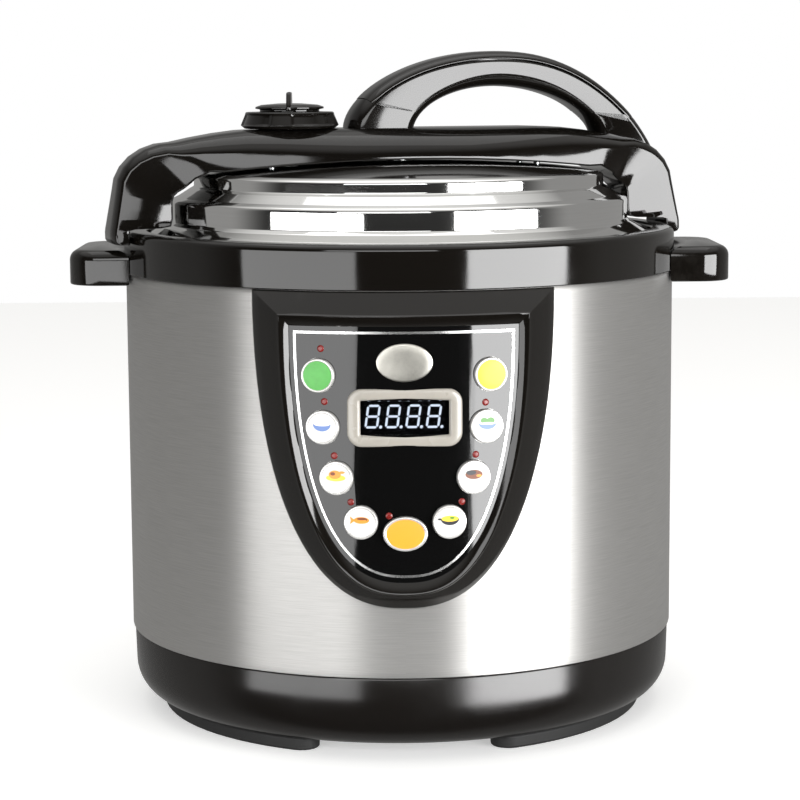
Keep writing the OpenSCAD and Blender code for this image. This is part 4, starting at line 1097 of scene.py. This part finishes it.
def bridge_ring(outer, inner, sign):
    share = min(abs(outer[0]) / bridge_half, 1)
    edge = 3.0 + 11 * (1 - share ** 2)
    width = bridge_width(min(abs(outer[0]), bridge_half))
    ring = section(Vector((sign * outer[0], outer[1])), Vector((sign * inner[0], inner[1])),
                   width, (min(edge * 1.35, width - 2), edge), (1.2, 1.2), steps=8)
    for point in ring:
        point.y += side_lean * (crown_z - point.z) * point.y / width
    return ring


rings = [bridge_ring(o, i, -1) for o, i in stations]
rings.append(bridge_ring((0, crown_z), over_dome(0), 1))
rings += [bridge_ring(o, i, 1) for o, i in reversed(stations)]
points, faces = lofted(rings, bridge_turn)
make_piece("bridge_moulding", points, faces, "lid", ["black_gloss"], ["arm_cover"], angle=moulding_angle)
print("bridge lofted:", len(faces), "faces")

# %% [markdown]
# The handle rises from the bridge as one arch. Its outer edge falls away from the peak by
# one rule and its inner edge by another, which gives the slim crown and the thick roots. A
# cap strip is let into the top of it, and a thin seam shows between the two.

# %% Handle curves
peak_t, foot_left, foot_right = 50.0, -28.0, 138.5
hole_left, hole_right = 6.0, 104.0
handle_rise, right_drop = 38.4, 52.4
hole_rise, hole_drop = handle_rise - 17.9, 24.0
arch_steps = 30
cap_t = 4.5


def fall(d, p, q):
    return max(1 - d ** p, 0) ** q


def arch_point(share, rise, left, right):
    """A point of an arch: share runs from -1 at the left foot to 1 at the right foot.

    Each side is (foot, drop, rule): where it lands, how far it falls and by which powers.
    """
    d = math.sin(math.pi / 2 * abs(share))
    foot, drop, rule = left if share < 0 else right
    return Vector((peak_t + d * (foot - peak_t), crown_z + rise - drop * (1 - fall(d, *rule))))


def outer_edge(share):
    return arch_point(share, handle_rise, (foot_left, handle_rise, (2, 0.58)),
                      (foot_right, right_drop, (2.3, 0.9)))


def inner_edge(share):
    return arch_point(share, hole_rise, (hole_left, hole_drop, (2, 0.5)), (hole_right, hole_drop, (2, 0.62)))


def drawn_in(share, by):
    step = 0.01
    along = (outer_edge(min(share + step, 1)) - outer_edge(max(share - step, -1))).normalized()
    return outer_edge(share) + Vector((along.y, -along.x)) * by


# %% Handle
handle_half = 14.0
cap_from, cap_to = -10 / 14, 9 / 14
body_round, seam_round = (11, 7), (1.2, 1.2)
shares = [-1 + 2 * i / (2 * arch_steps) for i in range(2 * arch_steps + 1)]


def handle_width(share):
    return min(handle_half, bridge_width(outer_edge(share).x) - 0.6)


def handle_ring(share, top, round_top):
    return section(top, inner_edge(share), handle_width(share), round_top, (10.5, 7), steps=7)


body_rings = []
for share in shares:
    if share < cap_from or share > cap_to:
        body_rings.append(handle_ring(share, outer_edge(share), body_round))
        continue
    if share - 1 / arch_steps < cap_from:
        body_rings.append(handle_ring(cap_from, outer_edge(cap_from), body_round))
        body_rings.append(handle_ring(cap_from, drawn_in(cap_from, cap_t), seam_round))
    body_rings.append(handle_ring(share, drawn_in(share, cap_t), seam_round))
    if share + 1 / arch_steps > cap_to:
        body_rings.append(handle_ring(cap_to, drawn_in(cap_to, cap_t), seam_round))
        body_rings.append(handle_ring(cap_to, outer_edge(cap_to), body_round))
points, faces = lofted(body_rings, bridge_turn)
make_piece("handle_loop", points, faces, "lid", ["handle_black"], ["handle_body"],
           angle=moulding_angle)

cap_steps, seam_gap = 44, 0.008
cap_rings = []
for i in range(cap_steps + 1):
    share = cap_from + seam_gap + (cap_to - cap_from - 2 * seam_gap) * i / cap_steps
    tuck = 0.5 if i in (0, cap_steps) else 0.0
    cap_rings.append(section(outer_edge(share), drawn_in(share, cap_t - 0.35), handle_width(share) - tuck,
                             (10, 3.7), (0.6, 0.4), steps=7))
points, faces = lofted(cap_rings, bridge_turn)
make_piece("handle_strip", points, faces, "lid", ["black_gloss"], ["handle_cap"], angle=moulding_angle)
print("handle:", len(body_rings), "sections, strip:", len(cap_rings))

# %% [markdown]
# The valve is a low turret with shallow windows pressed into its side, and a knob with a
# thin disc and a fin. The turret is turned, and its points are then pushed in where a
# window lies. The fin is a flat blade that starts ahead of the disc, as a pointer.

# %% Valve
valve_off, window_depth = 57.0, 1.1
valve_x, valve_y = -valve_off * math.cos(bridge_turn), -valve_off * math.sin(bridge_turn)
turret_low, turret_high = bottom_of("valve_turret") / mm, top_of("valve_turret") / mm
turret_r = radius_of("valve_turret") / mm
bore_r = 16.3


def moved(points, x, y):
    return [(p[0] + x * mm, p[1] + y * mm, p[2]) for p in points]


def turret():
    height = turret_high - turret_low
    wall = [(bore_r, turret_low), (turret_r - 2, turret_low, 0.4), (turret_r, turret_low + 1.6, 1.4)]
    wall += [(turret_r - 2.4 * i / 10, turret_low + 1.6 + (height - 2.6) * i / 10) for i in range(1, 10)]
    wall += [(turret_r - 2.5, turret_high, 1.6), (bore_r, turret_high, 0.5)]
    points, faces = turned(rounded(scaled(wall), steps=5), columns=192)
    pressed = []
    for x, y, z in points:
        r = math.hypot(x, y)
        bearing = (math.degrees(math.atan2(y, x)) + 360 + 9) % 90 - 45
        level = (z / mm - turret_low) / height
        side = min(max((33 - abs(bearing)) / 4, 0), 1)
        band = min(max((0.36 - abs(level - 0.52)) / 0.08, 0), 1)
        if r / mm > bore_r + 3:
            r_new = r - window_depth * mm * side * band
            x, y = x * r_new / r, y * r_new / r
        pressed.append((x, y, z))
    return moved(pressed, valve_x, valve_y), faces


points, faces = turret()
make_piece("valve_collar", points, faces, "lid", ["black_gloss"], ["valve_turret"])

knob_low, knob_high = bottom_of("valve_knob") / mm, top_of("valve_knob") / mm
disc_r = radius_of("valve_knob") / mm
disc_z = turret_high + 1.6
neck_r = disc_r - 1.7
weight_gap_r = 9.5
knob_profile = [
    (weight_gap_r, knob_low), (neck_r - 0.3, knob_low, 0.4), (neck_r - 0.6, disc_z - 0.4, 0.3),
    (disc_r, disc_z, 0.3), (disc_r, disc_z + 0.9, 0.5), (disc_r - 3, disc_z + 1.9, 1.5), (6, disc_z + 2.6),
    (0, disc_z + 2.7)]
knob_line = rounded(scaled(knob_profile), closed=False, steps=4)
knob_line += [Vector(p) for p in scaled([(0, disc_z - 0.2), (weight_gap_r, disc_z - 0.2)])]
points, faces = turned(knob_line, columns=160)
points = moved(points, valve_x, valve_y)
make_piece("knob_disc", points, faces, "valve_knob", ["black_gloss"], ["valve_knob"])

fin_t = 2.4
fin_side = [(-disc_r - 1.3, turret_high + 0.5), (-disc_r - 1.3, disc_z + 2.0),
            (-disc_r + 1.5, knob_high - 1.0), (-disc_r + 3.5, knob_high), (4.5, knob_high),
            (9, disc_z + 2.8), (9, disc_z + 0.3), (-disc_r + 0.6, disc_z + 0.3),
            (-disc_r + 0.4, turret_high + 0.5)]
fin_faces_x = (valve_x - fin_t / 2, valve_x + fin_t / 2)
points = [(x * mm, (valve_y + y) * mm, z * mm) for x in fin_faces_x for y, z in fin_side]
count = len(fin_side)
faces = [tuple(range(count)), tuple(reversed(range(count, 2 * count)))]
faces += [(k, (k + 1) % count, (k + 1) % count + count, k + count) for k in range(count)]
round_edges(make_piece("knob_fin", points, faces, "valve_knob", ["black_gloss"]), 0.7 * mm, 3)
print("valve turned, knob top", knob_high)

# %% [markdown]
# The control panel follows the curve of the shell. A small helper places a point by how far
# it is across, how high, and how far out from the axis, so every outline below is drawn
# flat and then bent round the body. The surround climbs from the shell to a ridge and falls
# again to the label plate.

# %% Panel surround
def bent(x, z, radius):
    """A point across x and up z, in millimetres, on the cylinder of this radius."""
    return Vector((x, -math.sqrt(radius ** 2 - x ** 2), z))


plate_r = plate_radius / mm
ridge_r = ridge_radius / mm
plate_t = 1.5


def grown(outline_set, by):
    width, top, height = outline_set
    return shield_outline(width + by, top + by, height + 2 * by)


def blended(first, second, share):
    return [((1 - share) * a[0] + share * b[0], (1 - share) * a[1] + share * b[1])
            for a, b in zip(first, second)]


panel_set = (panel_w, panel_top_z, panel_h)
ridge_set = (ridge_w, ridge_top, ridge_h)
border_set = (border_w, border_top, border_h)
foot_line, ridge_line, border_line = (grown(outline, 0) for outline in (panel_set, ridge_set, border_set))
slope = [(0.0, 0.1), (0.0, 1.2), (0.02, 1.9), (0.05, 2.5), (0.3, 4.5), (0.6, 6.9), (0.88, 9.0),
         (0.95, 9.5), (0.985, 9.9)]
fall_in = [(0.0, ridge_r - 0.1), (0.05, ridge_r), (0.12, ridge_r - 0.15), (0.55, plate_r + 1.2),
           (0.68, plate_r + 0.35), (0.7, plate_r - plate_t - 0.1), (0.9, shell_r + 0.1)]
surround = [[bent(x, z, shell_r + out) for x, z in blended(foot_line, ridge_line, share)]
            for share, out in slope]
surround += [[bent(x, z, radius) for x, z in blended(ridge_line, border_line, share)]
             for share, radius in fall_in]
surround += [surround[0]]
points, faces = lofted(surround, caps=False)
make_piece("panel_surround", points, faces, "housing", ["black_gloss"], ["control_bezel"],
           angle=math.radians(22))
print("surround:", len(faces), "faces")

# %% [markdown]
# The label plate, the smoked window and the switch sheet already follow the curve. They keep
# the shape of their parts, with smooth faces, and the display module also gets a very small
# edge. The silver line is drawn as a thin strip bent round the body. The oval badge is domed
# a little and is left plain.

# %% Plate, line, window and badge
for node in ("label_plate", "display_window", "switch_sheet"):
    soften(node, 0.0, angle=25)
soften("display_module", 0.3 * mm)


def outline_prism(outline, middle_z, rows):
    """Bends shrinking copies of an outline round the body. Rows are (inset, radius)."""
    rings = []
    for inset, radius in rows:
        ring = []
        for x, z in outline:
            length = math.hypot(x, z)
            keep_share = max(length - inset, 0.001) / length
            ring.append(bent(x * keep_share, middle_z + z * keep_share, radius))
        rings.append(ring)
    return lofted(rings)


def ellipse_line(width, height, steps=64):
    angles = [2 * math.pi * k / steps for k in range(steps)]
    return [(width / 2 * math.cos(a), height / 2 * math.sin(a)) for a in angles]


badge_w, badge_h = 26, 17.6
badge_z = middle_of("badge").z / mm
badge_rows = [(0, plate_r + 0.02), (0, plate_r + 0.4), (0.25, plate_r + 0.62), (0.7, plate_r + 0.7),
              (4, plate_r + 0.82)]
points, faces = outline_prism(ellipse_line(badge_w, badge_h), badge_z, badge_rows)
make_piece("oval_badge", points, faces, "housing", ["badge_silver"], ["badge"])

line_out, line_in = grown(border_set, 0), grown(border_set, -1.1)
line_back, line_face = plate_r + 0.02, plate_r + 0.18
rows = [(line_out, line_back), (line_out, line_face), (line_in, line_face), (line_in, line_back),
        (line_out, line_back)]
points, faces = lofted([[bent(x, z, radius) for x, z in line] for line, radius in rows], caps=False)
make_piece("silver_line", points, faces, "housing", ["silver_print"], ["border_trim"])
print("badge and line placed")

# %% [markdown]
# The display surround is a rounded frame with sloping inner edges. The digits are seven
# segments each, with pointed ends and a lean to the right, and a round dot after each one.

# %% Display
display_z = middle_of("display_frame").z / mm
frame_w, frame_h, window_w, window_h = 53.0, 26.8, 40.5, 15.5


def rounded_box_line(width, height, radius, steps=8):
    line = []
    for quarter, (sx, sz) in enumerate(((1, 1), (-1, 1), (-1, -1), (1, -1))):
        for k in range(steps + 1):
            a = math.radians(90 * (quarter + k / steps))
            line.append((sx * (width / 2 - radius) + radius * math.cos(a),
                         sz * (height / 2 - radius) + radius * math.sin(a)))
    return line


frame_rows = [
    (frame_w, frame_h, 6.5, 0.02), (frame_w, frame_h, 6.5, 0.7), (frame_w - 0.6, frame_h - 0.6, 6.2, 1.2),
    (frame_w - 2, frame_h - 2, 5.6, 1.5), (window_w + 3.2, window_h + 3.2, 1.8, 1.5),
    (window_w + 2.2, window_h + 2.2, 1.2, 1.3), (window_w + 0.4, window_h + 0.4, 0.6, 0.1),
    (window_w + 0.4, window_h + 0.4, 0.6, 0.02)]
rings = [[bent(x, display_z + z, plate_r + out) for x, z in rounded_box_line(w, h, r)]
         for w, h, r, out in frame_rows]
points, faces = lofted(rings + [rings[0]], caps=False)
make_piece("display_surround", points, faces, "housing", ["frame_grey"], ["display_frame"])

digit_w, digit_h, digit_pitch, segment_w = 5.3, 10.0, 9.4, 1.0
digit_t, dot_r, digit_lean = 0.25, 0.72, math.tan(math.radians(8))
digits_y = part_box("display_digits")[0].y / mm


def segment(x0, z0, x1, z1):
    """A bar with pointed ends between two points of a digit."""
    along = Vector((x1 - x0, z1 - z0))
    d = along.normalized()
    side = Vector((-d.y, d.x)) * segment_w / 2
    a, b = Vector((x0, z0)) + d * 0.2, Vector((x1, z1)) - d * 0.2
    nose = segment_w / 2
    return [a, a + d * nose + side, b - d * nose + side, b, b - d * nose - side, a + d * nose - side]


def digit_shapes():
    w, h = digit_w / 2, digit_h / 2
    bars = [(-w, 2 * h, w, 2 * h), (-w, h, w, h), (-w, 0, w, 0),
            (-w, 0, -w, h), (-w, h, -w, 2 * h), (w, 0, w, h), (w, h, w, 2 * h)]
    shapes = [segment(*bar) for bar in bars]
    angles = [2 * math.pi * k / 14 for k in range(14)]
    shapes.append([Vector((w + 1.7 + dot_r * math.cos(a), 0.1 + dot_r * math.sin(a))) for a in angles])
    return shapes


def flat_prism(points, faces, outline, depth_points):
    """Adds one outline, given at two depths, as a closed prism."""
    start = len(points)
    count = len(outline)
    for depth in depth_points:
        points.extend(depth(p) for p in outline)
    faces.append(tuple(start + k for k in range(count)))
    faces.append(tuple(start + count + k for k in reversed(range(count))))
    for k in range(count):
        n = (k + 1) % count
        faces.append((start + k, start + n, start + count + n, start + count + k))


points, faces = [], []
for index in range(4):
    shift = (index - 1.5) * digit_pitch - 0.6
    for shape in digit_shapes():
        placed = [(shift + p.x + digit_lean * (p.y - digit_h / 2), display_z - digit_h / 2 + p.y)
                  for p in shape]
        flat_prism(points, faces, placed, [lambda p: Vector((p[0], digits_y, p[1])) * mm,
                                           lambda p: Vector((p[0], digits_y + digit_t, p[1])) * mm])
make_piece("lit_digits", points, faces, "housing", ["digit_white"], ["display_digits"])
print("display built, digits:", len(faces), "faces")

# %% [markdown]
# Each button is a cap with a bright rim and a coloured face that is slightly domed, a
# flange behind the plate that keeps it in, and a stem that reaches its switch. All nine are
# turned from one profile. The oval one is the same profile, stretched sideways.

# %% Buttons
button_looks = dict.fromkeys(
    ("green", "rice", "chicken", "fish", "soup", "casserole", "beef", "vegetable", "yellow"), "button_white")
button_looks.update(green="button_green", soup="button_orange", yellow="button_yellow")
stem_r, cap_r, oval_w, oval_h = 2.2, 7.85, 20.6, 16.0
sheet_out = shell_r - 1.1
stem_low = sheet_out + 0.6 + 0.3 + 0.8
cap_back = plate_r - plate_t - 0.8
cap_face = plate_r + 2.2


def button_basis(name):
    """The ways across, up and out of a button's face. Out is against its joint's axis."""
    joint = next(j for j in frame["joints"] if j["name"] == "press_" + name)
    out = -Vector(joint["axis"]).normalized()
    up = Vector((0, 0, 1))
    return out.cross(up).normalized(), up, out


def button_piece(name):
    look = button_looks[name]
    r = oval_h / 2 if name == "soup" else cap_r
    stretch = oval_w / oval_h if name == "soup" else 1.0
    profile = [
        (0, stem_low), (stem_r, stem_low, 0.4), (stem_r, cap_back - 1.0), (r + 1.1, cap_back - 1.0, 0.2),
        (r + 1.1, cap_back, 0.2), (r, cap_back), (r, cap_face - 0.1, 0.55), (r - 0.75, cap_face, 0.3),
        (r - 1.15, cap_face - 0.22, 0.15), (r - 1.6, cap_face - 0.16), (r * 0.4, cap_face - 0.02),
        (0, cap_face)]
    line = rounded(profile, closed=False, steps=4)
    across, up, out = button_basis(name)
    z = middle_of("button_" + name).z / mm
    flat, faces = turned(line, closed=False, columns=72)
    points = []
    for x, y, h in flat:
        sideways = x * (stretch if h > cap_back - 1.5 else 1)
        points.append((across * sideways + up * (y + z) + out * h) * mm)
    piece = make_piece("cap_" + name, points, faces, "button_" + name, ["button_rim", look],
                       ["button_" + name])
    face_r = r - 1.1
    for polygon, corners in zip(piece.data.polygons, faces):
        far = max(math.hypot(flat[v][0], flat[v][1]) for v in corners)
        high = min(flat[v][2] for v in corners)
        if far <= face_r + 0.05 and high > cap_face - 1:
            polygon.material_index = 1


for name in button_looks:
    button_piece(name)
print("buttons:", ", ".join(button_looks))

# %% [markdown]
# The food buttons have small printed pictures. They are generic shapes of a bowl, a roast,
# a fish, a pot, a cut of meat and greens: thin prints that lie on the cap and move with it.

# %% Printed pictures
print_t = 0.16


def oval(cx, cz, w, h, start=0, stop=360, steps=26):
    """An oval, or the part of one between two angles."""
    count = steps + (stop - start < 360)
    angles = [math.radians(start + (stop - start) * k / steps) for k in range(count)]
    return [(cx + w / 2 * math.cos(a), cz + h / 2 * math.sin(a)) for a in angles]


pictures = {
    "rice": [("ink_pale", oval(0, 1.6, 6.4, 3.4, 0, 180)), ("ink_blue", oval(0, 1.5, 8.4, 6.4, 180, 360)),
             ("ink_pale", oval(0, 1.5, 7.4, 1.5))],
    "chicken": [("ink_yellow", oval(0, 0.3, 9.2, 3.2)), ("ink_orange", oval(0.4, 1.8, 5.8, 4.0)),
                ("ink_orange", oval(-2.9, 2.9, 2.8, 1.2)), ("ink_brown", oval(1.4, 2.2, 2.4, 1.6))],
    "fish": [("ink_orange", oval(-0.4, 1.2, 7.2, 3.2)),
             ("ink_orange", [(2.4, 1.2), (4.9, 3.0), (4.4, 1.2), (4.9, -0.6)]),
             ("ink_brown", oval(-0.6, 1.9, 4.6, 1.2)), ("ink_dark", oval(-2.8, 1.5, 0.6, 0.6))],
    "casserole": [("ink_dark", oval(0, 1.6, 8.6, 6.0, 180, 360)), ("ink_yellow", oval(0, 1.7, 8.0, 2.8)),
                  ("ink_green", oval(-1, 2.0, 2.4, 1.0)), ("ink_dark", oval(4.8, 1.5, 1.8, 0.9))],
    "beef": [("ink_brown", oval(0.2, 1.4, 8.2, 4.4)), ("ink_dark", oval(1.5, 2.3, 4.8, 2.2)),
             ("ink_orange", oval(-2.2, 0.8, 2.6, 1.3))],
    "vegetable": [("ink_green", oval(-1.5, 2.7, 3.8, 3.0)), ("ink_green", oval(1.6, 2.8, 3.4, 2.6)),
                  ("ink_blue", oval(0, 1.5, 8.4, 5.6, 180, 360)), ("ink_pale", oval(0, 1.4, 7.6, 1.1))],
}


def print_picture(name):
    across, up, out = button_basis(name)
    z = middle_of("button_" + name).z / mm
    points, faces, looks, indices = [], [], [], []
    for layer, (look, outline) in enumerate(pictures[name]):
        if look not in looks:
            looks.append(look)
        base = cap_face - 0.12 + 0.035 * layer
        before = len(faces)
        flat_prism(points, faces, outline, [
            lambda p, b=base: (across * p[0] + up * (z + p[1]) + out * b) * mm,
            lambda p, b=base: (across * p[0] + up * (z + p[1]) + out * (b + print_t)) * mm])
        indices += [looks.index(look)] * (len(faces) - before)
    piece = make_piece("print_" + name, points, faces, "button_" + name, looks)
    for polygon, index in zip(piece.data.polygons, indices):
        polygon.material_index = index


for name in pictures:
    print_picture(name)
print("pictures printed:", len(pictures))

# %% [markdown]
# The lamps are small domed lenses. They are turned like the buttons and stand just proud of
# the label.

# %% Lamps
lamp_places = [(-38.4, 25.8), (-36.9, 50.3), (-32.6, 75.4), (-25.1, 96.9), (-7.5, 103.2),
               (26.2, 97.1), (32.7, 75.3), (37.3, 51.2)]
lamp_r = 1.6


def lamp_lenses():
    line = rounded([(0, plate_r - plate_t), (lamp_r, plate_r - plate_t), (lamp_r, plate_r + 0.15, 0.2),
                    (lamp_r * 0.6, plate_r + 0.45, 0.6), (0, plate_r + 0.5)], closed=False, steps=4)
    points, faces = [], []
    for x, down in lamp_places:
        bearing = math.asin(x / plate_r)
        out = Vector((math.sin(bearing), -math.cos(bearing), 0))
        across = Vector((math.cos(bearing), math.sin(bearing), 0))
        flat, more = turned(line, closed=False, columns=28)
        placed = [(across * a + Vector((0, 0, panel_top_z - down + b)) + out * h) * mm for a, b, h in flat]
        add_to(points, faces, placed, more)
    make_piece("lamp_lenses", points, faces, "housing", ["lamp_red"], ["indicator_lenses"])


lamp_lenses()
print("lamps:", len(lamp_places))

# %% [markdown]
# What is behind and inside gets the same care in a simpler way: the parts keep their shape,
# and their edges are softened so that they look moulded, cast or turned.

# %% Back and inside
for node in ("power_inlet", "cup_bracket", "drip_cup", "inlet_pins"):
    soften(node, 0.5 * mm)
for node in ("inner_pot", "outer_pot", "sealing_ring", "seal_plate", "heating_plate", "sensor_cap",
             "exhaust_pipe", "anti_block_cap", "valve_weight", "float_bush", "float_pin", "centre_post"):
    soften(node, 0.25 * mm)
print("inside parts softened")
